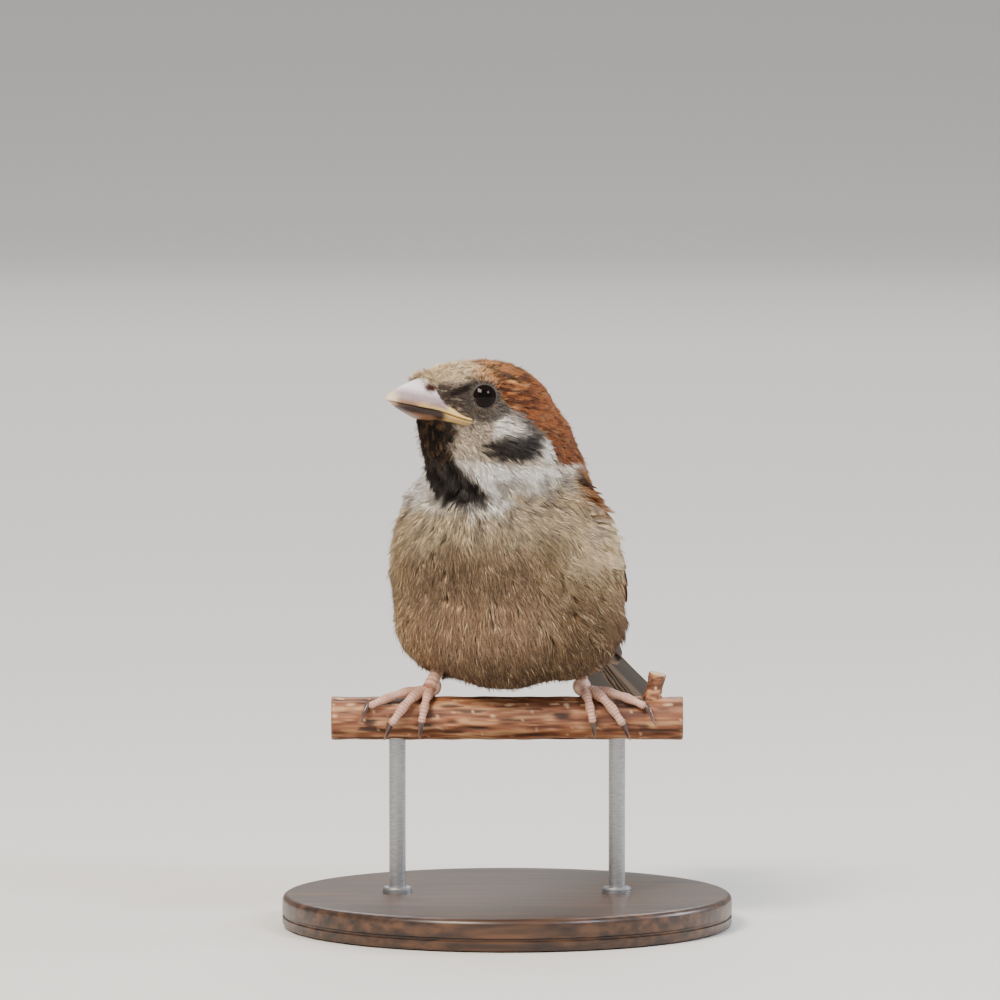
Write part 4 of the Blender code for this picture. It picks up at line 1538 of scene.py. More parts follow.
@dataclass
class Bill:
    """The seed-eater's bill of a young bird, with the soft pale lip of its gape."""

    tip_y: float = -17.6
    base_y: float = -10.2
    gape_y: float = -4.2
    gape_half: float = 6.8
    gape_lip: float = 1.1
    gape_drop: float = 1.0
    upper: Triple = (5.3, 3.9, 0.30)  # depth, half-width, how pointed it is
    lower: Triple = (1.9, 3.5, 0.55)
    lower_short: float = 1.1
    nib: float = 0.12
    gap: float = 0.07  # between the halves
    nostril: Triple = (2.6, -10.1, 0.9)

    def tomium(self, y: Array) -> Array:
        """Gives the height of the line where the halves meet."""
        along = np.maximum((y - self.tip_y) / (self.gape_y - self.tip_y), 0.0)
        return mix(-1.75, -3.3, along**0.85) - self.gape_drop * step(0.55, 1.05, along)

    def half(self, is_upper: bool) -> Object:
        """Makes one half: arched outside, flat along its cutting edge.

        Args:
            is_upper: Whether it is the upper half.

        Returns:
            The piece.
        """
        depth, half_width, nose = self.upper if is_upper else self.lower
        tip = self.tip_y + (0.0 if is_upper else self.lower_short)
        back, sign = self.gape_y + 0.5, 1.0 if is_upper else -1.0
        y = mix(tip, back, np.linspace(0.0, 1.0, 72) ** 1.35)[:, None]
        grow = np.clip((y - tip) / (self.base_y - tip), 0.0, 1.0)
        beyond = np.maximum((y - self.base_y) / (back - self.base_y), 0.0)
        width = mix(half_width * grow**0.62 + self.nib, self.gape_half, beyond)
        height = mix(depth * grow ** (0.62 + 0.25 * nose) + self.nib, self.gape_lip, step(0, 1, beyond))
        floor = self.tomium(y) + sign * 0.5 * self.gap
        turned = np.linspace(0.0, pi, 29)
        side = np.abs(np.cos(turned))
        across = np.copysign(side ** (0.86 if is_upper else 0.7), np.cos(turned)) * width
        rise = height * np.sin(turned)
        if is_upper:  # a rounded ridge along the top, and a faint groove beside it
            groove = np.exp(-(((np.abs(turned - pi / 2) - 0.5) / 0.16) ** 2))
            rise = rise - 0.07 * groove * (height / depth)
        lip = step(-12.5, -6.5, y) * side**6
        across = across * (1.0 + 0.07 * lip * (1.0 + step(-7.5, -5.5, y)))
        rise = rise + 0.22 * lip * (1.0 if is_upper else 0.4)
        under = np.stack(np.broadcast_arrays(np.linspace(-1.0, 1.0, 7)[1:-1] * across[:, :1], y, floor), -1)
        outer = np.stack(np.broadcast_arrays(across, y, floor + sign * rise), -1)
        if is_upper:
            outer = self.dented(outer)
        rings = np.concatenate([outer, under], 1)
        name = "bill_upper_horn" if is_upper else "bill_lower_horn"
        return loft(name, put(POSE.head, rings), self.colours(rings.reshape(-1, 3), is_upper))

    def dented(self, points: Array) -> Array:
        """Presses the nostrils into the sides of the upper half."""
        for side in SIDES.values():
            spot = np.array(self.nostril) * (side, 1.0, 1.0)
            far = np.linalg.norm((points - spot) / (0.9, 0.75, 0.45), axis=-1, keepdims=True)
            points = points - 0.45 * step(1.0, 0.2, far) * np.array((side * 0.8, 0.0, 0.5))
        return points

    def colours(self, points: Array, is_upper: bool) -> Array:
        """Paints the horn: lilac grey above, cream at the tip, pale yellow along the gape.

        Args:
            points: Points in the head's frame.
            is_upper: Whether they are on the upper half.

        Returns:
            Their linear colours.
        """
        y, z = points[:, 1], points[:, 2]
        over = (z - self.tomium(y)) * (1.0 if is_upper else -1.0)
        cloud = Grain(17).at(points, (1.2, 2.6, 0.5))
        if is_upper:
            smudge = step(0.55, 0.85, cloud) * step(-15.0, -11.0, y) * step(3.2, 2.2, over)
            # the upper half paler over its top and lilac grey below: partly its own colours, partly a painted
            # highlight on top and painted shade lower down
            found = blend(
                plain("#a08d90", len(points)),
                ("#e2dade", step(2.0, 3.6, over + 0.5 * cloud)),
                ("#8d6540", step(1.5, 0.7, over + 0.5 * cloud) * step(-17.2, -15.6, y) * 0.8),
                ("#7c5648", smudge * 0.5),
            )
        else:
            patch = step(1.75, 1.15, over + 0.4 * cloud) * step(-16.0, -14.8, y) * step(-6.6, -8.2, y)
            found = blend(plain("#795339", len(points)), ("#1e0d09", patch * 0.95),
                          ("#5d4c4b", patch * step(0.5, 0.8, cloud) * 0.5))
        lip = step(0.75, 0.45, over) * step(-13.6, -11.0, y) * is_upper
        lip = np.maximum(lip, step(-8.6, -7.2, y - 0.4 * over))
        # painted shade: the nostril's dent is painted dark, standing in for the shade inside its opening
        from_nostril = np.abs(points) * (1, 0, 0) + points * (0, 1, 1) - self.nostril
        far = np.linalg.norm(from_nostril / (1.6, 1.3, 0.95), axis=1)
        return blend(
            found,
            ("#e0c07a", lip * (0.92 if is_upper else 0.55)),
            ("#e6cfab", step(-15.2, -16.9, y) * 0.85),
            ("#3c140d", step(1.2, 0.6, far) * is_upper),
        )

    def build(self, horn: Material) -> None:
        """Makes and dresses both halves."""
        hand_in(self.half(True), horn, ["bill_upper"])
        hand_in(self.half(False), horn, ["bill_lower"])


# --- vanes: wings, mantle and tail ---


class Quill(Enum):
    """The kinds of feather, by their colours: (centre, fringe, tip, width of the fringe)."""

    PRIMARY = ("#33261d", "#7f5f3f", "#6a5038", 0.2)
    SECONDARY = ("#2e2119", "#8f5d31", "#96704a", 0.36)
    TERTIAL = ("#251a13", "#96663a", "#b8966c", 0.26)
    GREATER = ("#291d16", "#8c542b", "#dccaa8", 0.42)
    MEDIAN = ("#1c130e", "#633a20", "#efe6d2", 0.3)
    LESSER = ("#5c361d", "#80502b", "#8a5a34", 0.6)
    MANTLE = ("#1a110c", "#89602f", "#a57f4f", 0.62)
    SCAPULAR = ("#1f140e", "#84532b", "#ad885c", 0.56)
    RUMP = ("#755a3a", "#8d6f48", "#9b8059", 0.6)
    TAIL = ("#3b2d23", "#7a6045", "#6d563f", 0.16)
    VENT = ("#a89a84", "#d2c6b0", "#dbd0bc", 0.7)


@dataclass(frozen=True)
class Vane:
    """One feather, flat on its bed: from root to tip in the bed's millimetres, and how high it lies."""

    quill: Quill
    root: Pair
    tip: Pair
    width: float
    high: Pair  # over the bed at root and tip
    outer: float = 0.5  # share of the width on its outer side
    bend: float = 0.0  # how far its middle bows aside
    blunt: float = 1.0  # how round its end is
    roll: float = 0.0  # how far it drops for each millimetre aside, so that the next lies over it


class Bed:
    """A surface that feathers lie on."""

    def lay(self, flat: Array, high: Array) -> Array:
        """Puts points of the bed's own plane, and their heights over it, in metres."""
        raise NotImplementedError


@dataclass
class WingBed(Bed):
    """The side of the trunk and the air behind it, where a folded wing lies."""

    side: int
    form: Triple = (15.3, 33.0, 20.0)
    tip_x: float = 5.0
    out: float = 1.05  # the wing's middle line over the form
    ease: float = 0.1  # how softly it leaves the form behind the trunk
    near: float = 0.4  # between points that give its slope

    def at(self, flat: Array) -> Array:
        """Gives the bed's points in the trunk's frame."""
        along, across = flat.T
        within = 1.0 - (along / self.form[1]) ** 2 - (across / self.form[2]) ** 2
        bed = self.form[0] * np.sqrt(0.5 * (within + np.hypot(within, self.ease))) + self.out
        return np.stack([self.side * np.hypot(bed, self.tip_x), along, across], 1)

    def lay(self, flat: Array, high: Array) -> Array:
        """Puts points of the wing's plane, and their heights, in metres."""
        steps = np.eye(2) * self.near
        out = unit(np.cross(*(self.at(flat + pace) - self.at(flat - pace) for pace in steps)))
        out = out * np.sign(out[:, :1] * self.side + 1e-9)
        return put(POSE.trunk, self.at(flat) + out * high[:, None])


@dataclass
class TailBed(Bed):
    """The folded tail's plane, a little arched."""

    length: float = 49.0
    half: Pair = (4.6, 7.4)  # at the root and the tip
    arch: float = 1.6

    def lay(self, flat: Array, high: Array) -> Array:
        """Puts points of the tail's plane, and their heights, in metres."""
        along, across = flat.T
        share = np.clip(along / self.length, 0.0, 1.0)
        rise = -self.arch * (across / mix(*self.half, share**0.8)) ** 2 * mix(1.0, 0.6, share)
        return put(POSE.tail, np.stack([across, along, rise + high], 1))


@dataclass
class SkinBed(Bed):
    """A patch of skin round a feather's root."""

    surface: Surface
    root: Array
    ahead: Array
    across: Array

    def lay(self, flat: Array, high: Array) -> Array:
        """Puts points ahead of and beside the root on the skin, and raises them."""
        free = self.root + (self.ahead * flat[:, :1] + self.across * flat[:, 1:]) * MM
        place, normal = self.surface.nearest(free)
        return place + normal * (high * MM)[:, None]


@dataclass
class Plume:
    """Vanes joined in one piece, each with a cell of its own on the map."""

    name: str
    stations: int = 15
    across: tuple[float, ...] = (-1.0, -0.72, -0.42, -0.09, 0.0, 0.09, 0.42, 0.72, 1.0)
    thick: float = 0.11
    tipped: dict[Quill, float] = field(default_factory=lambda: {Quill.MEDIAN: 2.3, Quill.GREATER: 1.2})
    points: list[Array] = field(default_factory=list)
    colours: list[Array] = field(default_factory=list)
    sizes: list[Array] = field(default_factory=list)
    rng: np.random.Generator = field(default_factory=lambda: np.random.default_rng(33))

    def add(self, bed: Bed, vane: Vane) -> None:
        """Adds one feather.

        Args:
            bed: What it lies on.
            vane: Its shape and colours.
        """
        share = 1.0 - (1.0 - np.linspace(0.0, 0.985, self.stations)) ** 1.6
        beside = np.array(self.across)
        ahead = np.array(vane.tip) - np.array(vane.root)
        length = np.linalg.norm(ahead)
        ahead = ahead / length
        aside = np.array([-ahead[1], ahead[0]])
        blunt = min(vane.width * 0.6 * vane.blunt / length, 0.5)
        past = np.clip((share - 1.0 + blunt) / blunt, 0.0, 1.0)
        wide = (0.3 + 0.7 * step(0.0, 0.35, share)) * np.sqrt(np.maximum(1.0 - past**2, 0.0))
        half = wide[:, None] * vane.width * np.where(beside > 0, vane.outer, 1.0 - vane.outer)
        ragged = self.rng.standard_normal((len(share), len(beside))) * (np.abs(beside) == 1)
        reach = beside * half * (1.0 + 0.04 * ragged * step(1.0, 0.8, share)[:, None])
        bow = vane.bend * np.sin(pi * share)[:, None]
        flat = np.array(vane.root) + share[:, None, None] * length * ahead
        flat = flat + (reach + bow)[:, :, None] * aside
        high = mix(*vane.high, share)[:, None] - 0.08 * beside**2 - vane.roll * reach
        shaft = 0.07 * (beside == 0.0) * (1.0 - share)[:, None]
        for lift in (shaft, -self.thick * (1.0 - 0.6 * beside**2)):
            self.points.append(bed.lay(flat.reshape(-1, 2), (high + lift).ravel()))
        shades = self.paint(vane, share, beside)
        # the underside's copy is painted darker, as painted shade
        self.colours += [shades, shades * 0.85]
        size = np.stack(np.broadcast_arrays(reach, share[:, None] * length), -1)
        self.sizes += [size.reshape(-1, 2)] * 2

    def paint(self, vane: Vane, share: Array, beside: Array) -> Array:
        """Paints one feather: dark centre, paler fringe and tip, and a thin shaft.

        Args:
            vane: The feather.
            share: Its stations, as shares of its length.
            beside: Its places across, as shares of its half-width.

        Returns:
            A colour for each of its points.
        """
        centre, fringe, tip, wide = vane.quill.value
        along, aside = (held.ravel() for held in np.meshgrid(share, np.abs(beside), indexing="ij"))
        length = dist(vane.root, vane.tip)
        reach = self.tipped.get(vane.quill, 1.0) / length
        tone = 1.0 + 0.08 * self.rng.standard_normal()
        found = blend(
            plain(centre, len(along)),
            (fringe, step(1.0 - wide - 0.12, 1.0 - wide + 0.16, aside)),
            (tip, step(1.0 - reach, 1.0 - reach * 0.6, along + 0.6 / length * aside**2)),
            (centre, (aside < 0.05) * 0.6),
        )
        return found * tone * (0.94 + 0.12 * self.rng.random(len(found)))[:, None]

    def mesh(self) -> Object:
        """Joins the feathers.

        Returns:
            The piece, with the baking map and one for the barbs.
        """
        shape = self.stations, len(self.across)
        grid = np.arange(shape[0] * shape[1]).reshape(shape)
        under = grid + grid.size
        quads = [(grid[:-1, :-1], grid[:-1, 1:], grid[1:, 1:], grid[1:, :-1]),
                 (under[:-1, :-1], under[1:, :-1], under[1:, 1:], under[:-1, 1:])]
        faces = [np.stack([q.ravel() for q in quad], 1) for quad in quads]
        loop = np.concatenate([grid[0], grid[1:, -1], grid[-1, -2::-1], grid[-2:0:-1, 0]])
        after = np.roll(loop, -1)
        faces.append(np.stack([loop, loop + grid.size, after + grid.size, after], 1))
        layers = len(self.points)
        starts = np.arange(0, layers, 2) * grid.size
        whole = (np.concatenate(faces) + starts[:, None, None]).reshape(-1, 4)
        obj = solid(self.name, np.concatenate(self.points), whole, np.concatenate(self.colours))
        cells = ceil(sqrt(layers))
        share, beside = np.meshgrid(*(np.linspace(0.08, 0.92, many) for many in shape), indexing="ij")
        inner = np.stack([beside.ravel(), share.ravel()], 1)
        spots = [(inner + (cell % cells, cell // cells)) / cells for cell in range(layers)]
        add_map(obj, BAKE_MAP, np.concatenate(spots)[whole.ravel()])
        add_map(obj, BARB_MAP, np.concatenate(self.sizes)[whole.ravel()] * MM)
        return face_out(obj)


def fan(quill: Quill, count: int, root: Line, tip: Line, width: float, high: Pair,
        rise: float = 0.02, **shape: float) -> list[Vane]:
    """Sets a row of feathers, each over the last.

    Args:
        quill: Their kind.
        count: How many.
        root: The first and the last root.
        tip: The first and the last tip.
        width: Their width.
        high: The first one's height at root and tip.
        rise: How much higher each lies than the last.
        shape: Other values of each vane.

    Returns:
        The row.
    """
    row = []
    for i in range(count):
        ends = (tuple(mix(a, b, i / (count - 1)) for a, b in zip(*pair)) for pair in (root, tip))
        lift = tuple(value + rise * i for value in high)
        row.append(Vane(quill, *ends, width, lift, roll=0.12, **shape))
    return row


@dataclass
class Wing:
    """One folded wing: its flight feathers, with three rows of coverts over them."""

    word: str

    def vanes(self) -> list[Vane]:
        """Lists the feathers, from the lowest to the one on top.

        Returns:
            The feathers.
        """
        row = fan(Quill.PRIMARY, 7, ((-9.0, -5.0), (-3.0, 1.0)), ((46.4, 5.2), (28.0, 7.6)), 5.0,
                  (-0.6, -0.6), 0.08, outer=0.4, bend=-1.6, blunt=1.5)
        row += fan(Quill.SECONDARY, 6, ((-5.0, -1.0), (0.0, 6.0)), ((23.5, 1.6), (21.0, 9.0)), 5.4,
                   (0.15, 0.15), 0.03, outer=0.4, bend=-0.8)
        row += fan(Quill.TERTIAL, 3, ((1.0, 6.0), (4.0, 10.5)), ((26.5, 8.6), (18.5, 11.0)), 7.0,
                   (0.55, 0.6), 0.1, outer=0.5, bend=0.4, blunt=1.1)
        row += fan(Quill.PRIMARY, 4, ((-12.0, -6.4), (-11.0, -3.4)), ((5.0, -5.6), (6.5, -2.6)), 3.4,
                   (0.45, 0.5), outer=0.45, blunt=1.3)
        row += fan(Quill.GREATER, 9, ((-8.5, -4.0), (-1.0, 11.0)), ((4.0, -3.4), (10.0, 11.4)), 4.3,
                   (0.75, 0.95))
        row += fan(Quill.MEDIAN, 8, ((-12.0, -4.5), (-5.0, 11.4)), ((-3.6, -4.0), (3.4, 12.0)), 4.2,
                   (0.95, 1.2), 0.01)
        small = (((-12.5, -4.6), (-7.0, 11.6)), ((-14.8, -3.4), (-9.6, 10.6)), ((-16.6, -1.4), (-12.4, 8.8)))
        for number, (start, end) in enumerate(small):
            ahead = 6.0 - 0.4 * number
            tips = ((start[0] + ahead, start[1] + 0.3), (end[0] + ahead, end[1] + 0.4))
            row += fan(Quill.LESSER, 9 - number, (start, end), tips, 3.7, (1.1, 1.35), 0.01)
        return row

    def build(self, finish: Material) -> None:
        """Makes and dresses the wing."""
        plume = Plume(f"wing_{self.word}_feathers")
        for vane in self.vanes():
            plume.add(WingBed(SIDES[self.word]), vane)
        hand_in(plume.mesh(), finish, [f"wing_{self.word}"])


@dataclass
class Tail:
    """The folded tail: six pairs of feathers, with coverts over and under its root."""

    length: float = 49.0
    notch: float = 2.0
    pairs: int = 6
    spread: Pair = (1.3, 5.05)

    def build(self, finish: Material) -> None:
        """Makes and dresses the tail.

        Args:
            finish: The feathers' finish.
        """
        plume, bed = Plume("tail_feathers"), TailBed()
        for number in reversed(range(self.pairs)):
            share = number / (self.pairs - 1)
            for side in (-1.0, 1.0):
                root = (-5.0, side * 0.35 * number)
                tip = (self.length - self.notch * (1.0 - share), side * mix(*self.spread, share))
                high = (mix(0.5, -0.42, share) + 0.04 * side,) * 2
                plume.add(bed, Vane(Quill.TAIL, root, tip, 4.9, high, blunt=1.1, roll=-0.1 * side))
        for row, (reach, count) in enumerate(((17.0, 5), (12.5, 5), (8.0, 4))):
            over, under = (0.9 + 0.5 * row, 0.85 + 0.12 * row), (-0.7 - 0.6 * row, -0.75 - 0.15 * row)
            for i in range(count):
                aside, start = (i - (count - 1) / 2) * 1.5, reach - 13.0
                plume.add(bed, Vane(Quill.RUMP, (start, aside * 0.7), (reach, aside), 4.4, over))
                tip = (reach + 3.0, aside * 0.7)
                plume.add(bed, Vane(Quill.VENT, (start, aside * 0.5), tip, 4.2, under))
        hand_in(plume.mesh(), finish, ["tail"])


@dataclass
class Mantle:
    """The streaked feathers of the back and shoulders, in staggered rows over the skin."""

    coat: Coat
    rng: np.random.Generator = field(default_factory=lambda: np.random.default_rng(12))

    def spots(self) -> list[tuple[Quill, float, float, float, float]]:
        """Lists the feathers.

        Returns:
            For each its kind, place across and along the trunk, length and width.
        """
        found = []
        for row in range(13):
            along = 17.0 - 2.75 * row
            kind = Quill.RUMP if along > 11.0 else Quill.MANTLE
            half = mix(5.4, 10.8, float(step(18.0, -4.0, along)))
            count = int(half * 2 / 2.6) + row % 2
            shares = [i / max(count - 1, 1) * 2.0 - 1.0 for i in range(count)]
            found += [(kind, share * half, along, 7.2, 4.4) for share in shares]
        for side in SIDES.values():
            found += [(Quill.SCAPULAR, -side * (11.6 + 0.2 * i), 4.0 - 3.1 * i, 11.0 - 0.7 * i, 5.4)
                      for i in range(6)]
        return found

    def build(self, finish: Material) -> None:
        """Makes and dresses the mantle.

        Args:
            finish: The feathers' finish.
        """
        plume, surface = Plume("mantle_feathers", stations=9), self.coat.surface
        down = Vector(bearing(POSE.trunk, (0.0, 0.0, -1.0)))
        for kind, aside, along, length, width in self.spots():
            start = Vector(put(POSE.trunk, (aside, along, 40.0)))
            place, facing, _, _ = surface.tree.ray_cast(start, down)
            if place is None or read(POSE.head, place)[2] > -15.5 or facing.dot(down) > 0.0:
                continue
            root, normal = np.array([place]), np.array([facing])
            ahead = self.coat.flow(root, normal)
            tilt = radians(5.0) * self.rng.standard_normal()
            ahead = ahead * cos(tilt) + np.cross(normal, ahead) * sin(tilt)
            bed = SkinBed(surface, root[0], ahead[0], np.cross(normal, ahead)[0])
            lift = 0.25 if kind is Quill.SCAPULAR else self.rng.uniform(-0.1, 0.1)
            tip = (length * self.rng.uniform(0.92, 1.08), 0.0)
            plume.add(bed, Vane(kind, (-1.0, 0.0), tip, width, (0.75, 1.5 + lift), blunt=1.3))
        hand_in(plume.mesh(), finish)


# --- legs ---


def round_twig(x: Array, turned: Array, radius: Array | float) -> Array:
    """Gives points beside the twig: turned degrees from its top towards the breast, in millimetres."""
    reach, angle = POSE.perch_radius + Leg.gap + radius, np.radians(turned)
    return np.stack(np.broadcast_arrays(x, -reach * np.sin(angle), reach * np.cos(angle)), -1)


def length_of(line: Array) -> float:
    """Measures along a line of points."""
    return float(np.linalg.norm(np.diff(line, axis=0), axis=1).sum())


@dataclass
class Leg:
    """A bare lower leg, the foot's four toes round the twig, and their claws."""

    word: str
    gap: float = 0.3
    stance: float = 13.6
    toes: tuple[tuple[str, float, float, float], ...] = (  # reach, turn about the twig, radius
        ("inner", 2.0, 96.0, 0.88),
        ("middle", 7.6, 100.0, 0.95),
        ("outer", 11.6, 62.0, 0.88),
        ("hind", 0.6, -92.0, 1.0),
    )
    heel: Triple = (11.6, 4.5, 8.0)
    ankle_rise: float = 2.4
    bow: float = 1.2
    shank: float = 1.05
    palm: Triple = (1.75, 1.9, 1.35)
    taper: float = 0.72
    spread: float = 0.8
    claw_sweep: float = 42.0
    claw_radii: Pair = (0.62, 0.1)
    scute: float = 0.62  # length of one scale along a toe

    def skinned(self, name: str, line: Array, radii: Array, length: float, knuckles: Array) -> Object:
        """Lays scaled skin round a line.

        Args:
            name: What it is, which sets its small unevenness.
            line: Points in millimetres in the row's frame.
            radii: The radius at each.
            length: The line's length, which sets how many scales it has.
            knuckles: How much of a joint each point is.

        Returns:
            A loft.
        """
        around = 24
        phase = np.linspace(0.0, 1.0, len(line)) * length / self.scute
        saw = phase - np.floor(phase)
        ridge = np.minimum(saw * 1.25, (1.0 - saw) * 5.0).clip(0.0, 1.0)
        spread = radii * (1.0 + 0.055 * ridge)
        rings = tube_rings(line, spread, around)
        small = Grain(sum(map(ord, name))).at(rings.reshape(-1, 3), 0.4)
        uneven = 1.0 + 0.05 * (small.reshape(-1, around) - 0.5)
        ridge, knuckle = np.repeat(ridge, around), np.repeat(knuckles, around)
        # painted highlight on each scute's raised ridge and painted shade in the grooves between them; the
        # darker joints and the blotches are the skin's own colour
        colours = blend(
            plain("#c6967d", len(small)),
            ("#dcbfae", ridge * 0.8),
            ("#7c4c3c", (1.0 - step(0.0, 0.4, ridge)) * 0.7),
            ("#9a6a58", knuckle * 0.35),
            ("#b5705c", step(0.5, 0.8, small) * 0.25),
        )
        return loft(name, tube_rings(line, spread[:, None] * uneven, around) * MM, colours)

    def toe(self, reach: float, turned: float, radius: float) -> tuple[Array, Array, Array]:
        """Lays out one toe.

        Args:
            reach: Its length along the twig.
            turned: Degrees that it goes round it.
            radius: Its radius.

        Returns:
            Its line in millimetres, the radii and how much of a joint each point is.
        """
        share = np.linspace(0.0, 1.0, 64)
        x = SIDES[self.word] * (self.stance + reach * share**self.spread)
        line = round_twig(x, turned * share, radius)
        joint = 0.5 + 0.5 * np.cos(share * 6.0 * pi)
        radii = radius * mix(1.0, self.taper, share) * (0.9 + 0.26 * joint)
        radii = radii * np.sqrt(np.clip((1.0 - share) / 0.06, 0.04, 1.0))
        return put(POSE.perch, line) / MM, radii, joint

    def shank_line(self) -> Array:
        """Gives the line of the lower leg, in millimetres in the row's frame."""
        over = POSE.perch_radius + self.gap + self.ankle_rise
        start = (SIDES[self.word] * self.stance, -0.3, over)
        ankle = read(POSE.body, put(POSE.perch, start))
        heel = np.array(self.heel) * (SIDES[self.word], 1.0, 1.0)
        share = np.linspace(-0.12, 1.0, 60)[:, None]
        line = mix(ankle, heel, share) + np.array((0, 0, self.bow)) * np.sin(pi * share)
        return put(POSE.body, line) / MM

    def build(self, skin: Material, horn: Material) -> None:
        """Makes and dresses the claws, then the leg and foot as one skin.

        Args:
            skin: The finish of leg and foot.
            horn: The claws'.
        """
        for toe in self.toes:
            self.claw(*toe, horn)
        line = self.shank_line()
        share = np.linspace(0.0, 1.0, len(line))
        radii = self.shank * mix(1.2, 1.0, step(0.0, 0.3, share))
        parts = [self.skinned(f"shank_{self.word}", line, radii, length_of(line) * 0.6, share * 0.0)]
        for name, reach, turned, radius in self.toes:
            line, radii, joint = self.toe(reach, turned, radius)
            parts.append(self.skinned(f"toe_{name}", line, radii, length_of(line), joint))
        thick, half, rise = self.palm
        rise += POSE.perch_radius + self.gap + 0.05
        axis = np.linspace(-1.0, 1.0, 22)
        line = np.stack(np.broadcast_arrays(SIDES[self.word] * self.stance, axis * half, rise), 1)
        radii = thick * 0.93 * np.sqrt(np.maximum(1.0 - axis**2, 0.01))
        parts.append(self.skinned("palm", put(POSE.perch, line) / MM, radii, 3.0, axis * 0.0))
        with bpy.context.temp_override(active_object=parts[0], selected_editable_objects=parts):
            bpy.ops.object.join()
        parts[0].name = f"foot_{self.word}_skin"
        hand_in(parts[0], skin, [f"foot_{self.word}", f"shank_{self.word}"])

    def claw(self, name: str, reach: float, turned: float, radius: float, horn: Material) -> None:
        """Makes one claw, hooked on round the twig to a fine tip.

        Args:
            name: Its toe.
            reach: The toe's length along the twig.
            turned: Degrees that the toe goes round it.
            radius: The toe's radius.
            horn: The finish.
        """
        share = np.linspace(0.0, 1.0, 30)
        direction = 1.0 if turned > 0 else -1.0
        lift = radius * self.taper * (1.0 + 0.35 * np.sin(pi * share))
        x = SIDES[self.word] * (self.stance + reach + reach * 0.16 * share)
        line = round_twig(x, turned - direction * 4.0 + direction * self.claw_sweep * share, lift)
        radii = mix(*self.claw_radii, share**0.8)
        rings = tube_rings(line, radii, 16, 1.15)
        pale = np.repeat(step(0.35, 1.0, share), 16)
        colours = blend(plain("#4a332a", len(pale)), ("#8a6a58", pale))
        piece = loft(f"claw_{name}_{self.word}_horn", put(POSE.perch, rings), colours)
        hand_in(piece, horn, [f"claw_{name}_{self.word}"])


# --- perch and stand ---


@dataclass
class Perch:
    """A cut length of willow twig, with the broken stub of a side shoot."""

    length: float = 64.0
    wave: float = 0.012
    wave_turn: float = 0.9
    stub: tuple[Triple, ...] = ((25.5, 0.0, 1.0), (26.6, -0.6, 4.6), (27.4, -1.0, 8.2))
    stub_radii: Triple = (2.0, 1.65, 1.5)
    relief: float = 0.16
    around: int = 84

    def bark(self, points: Array) -> tuple[Array, Array]:
        """Gives the bark's relief and colour.

        Args:
            points: Points in the twig's frame.

        Returns:
            A height from -1 to 1 and a colour for each.
        """
        ridge = Grain(41).at(points, (7.0, 0.7, 0.7))
        fine = Grain(42).at(points, (2.6, 0.32, 0.32))
        crack = step(0.32, 0.2, Grain(43).at(points, (5.0, 0.5, 0.5)))
        height = (ridge - 0.5) * 1.1 + (fine - 0.5) * 0.7 - 0.9 * crack
        return height, blend(
            plain("#875336", len(points)),
            ("#b98b62", step(0.5, 0.78, ridge * 0.5 + fine * 0.5)),
            ("#5b3521", step(0.5, 0.3, ridge * 0.6 + fine * 0.4)),
            ("#2c1a11", crack * 0.85),
            ("#cba983", step(0.78, 0.86, Grain(44).at(points, (0.9, 0.7, 0.7))) * 0.8),
        )

    def cut(self, edge: Array, centre: Array) -> tuple[Array, Array]:
        """Closes a cut end: bark, a thin dark line, then pale wood with rings and a pith.

        Args:
            edge: The end's outermost ring.
            centre: The middle of it.

        Returns:
            Rings that shrink to the middle, and a colour for each point.
        """
        inner = np.array([0.97, 0.93, 0.9, 0.75, 0.6, 0.45, 0.3, 0.18, 0.09, 0.02])
        caps = centre + (edge - centre)[None] * inner[:, None, None]
        share = np.repeat(inner, self.around)
        ring = 0.5 + 0.5 * np.sin(share * 30.0 + 2.0 * Grain(45).at(caps.reshape(-1, 3), 1.5))
        colours = blend(
            plain("#cfae7c", len(share)),
            ("#b48d5c", ring * 0.6),
            ("#5a3a24", step(0.12, 0.04, share)),
            ("#4b2f1e", step(0.88, 0.93, share)),
        )
        return caps, colours.reshape(caps.shape)

    def limb(self, name: str, line: Array, radii: Array) -> Object:
        """Makes a length of twig with both its ends cut.

        Args:
            name: The piece's name.
            line: Points along it, in the twig's frame.
            radii: The radius at each.

        Returns:
            The piece.
        """
        rings = tube_rings(line, radii, self.around)
        height, colours = self.bark(rings.reshape(-1, 3))
        height = height.reshape(rings.shape[:2])
        rings = tube_rings(line, radii[:, None] + self.relief * height, self.around)
        (first, first_wood), (last, last_wood) = (self.cut(rings[end], line[end]) for end in (0, -1))
        colours = [first_wood[::-1], colours.reshape(rings.shape), last_wood]
        rings = np.concatenate([first[::-1], rings, last])
        return loft(name, put(POSE.perch, rings), np.concatenate(colours))

    def build(self, finish: Material) -> None:
        """Makes and dresses the twig and its stub.

        Args:
            finish: Their finish.
        """
        x = np.linspace(-0.5, 0.5, 150) * self.length
        line = np.stack([x, x * 0.0, x * 0.0], 1)
        radii = POSE.perch_radius * (1.0 - self.wave * (1.0 + np.cos(x * self.wave_turn))) - 0.06
        radii[[0, -1]] -= 0.12
        hand_in(self.limb("twig", line, radii), finish, ["perch"])
        share = np.linspace(0.0, 2.0, 40)
        line = np.stack([np.interp(share, (0, 1, 2), values) for values in zip(*self.stub)], 1)
        radii = np.interp(share, (0, 1, 2), self.stub_radii) * (1.0 + 0.08 * np.sin(share * 4.0))
        hand_in(self.limb("twig_stub", line, radii), finish)


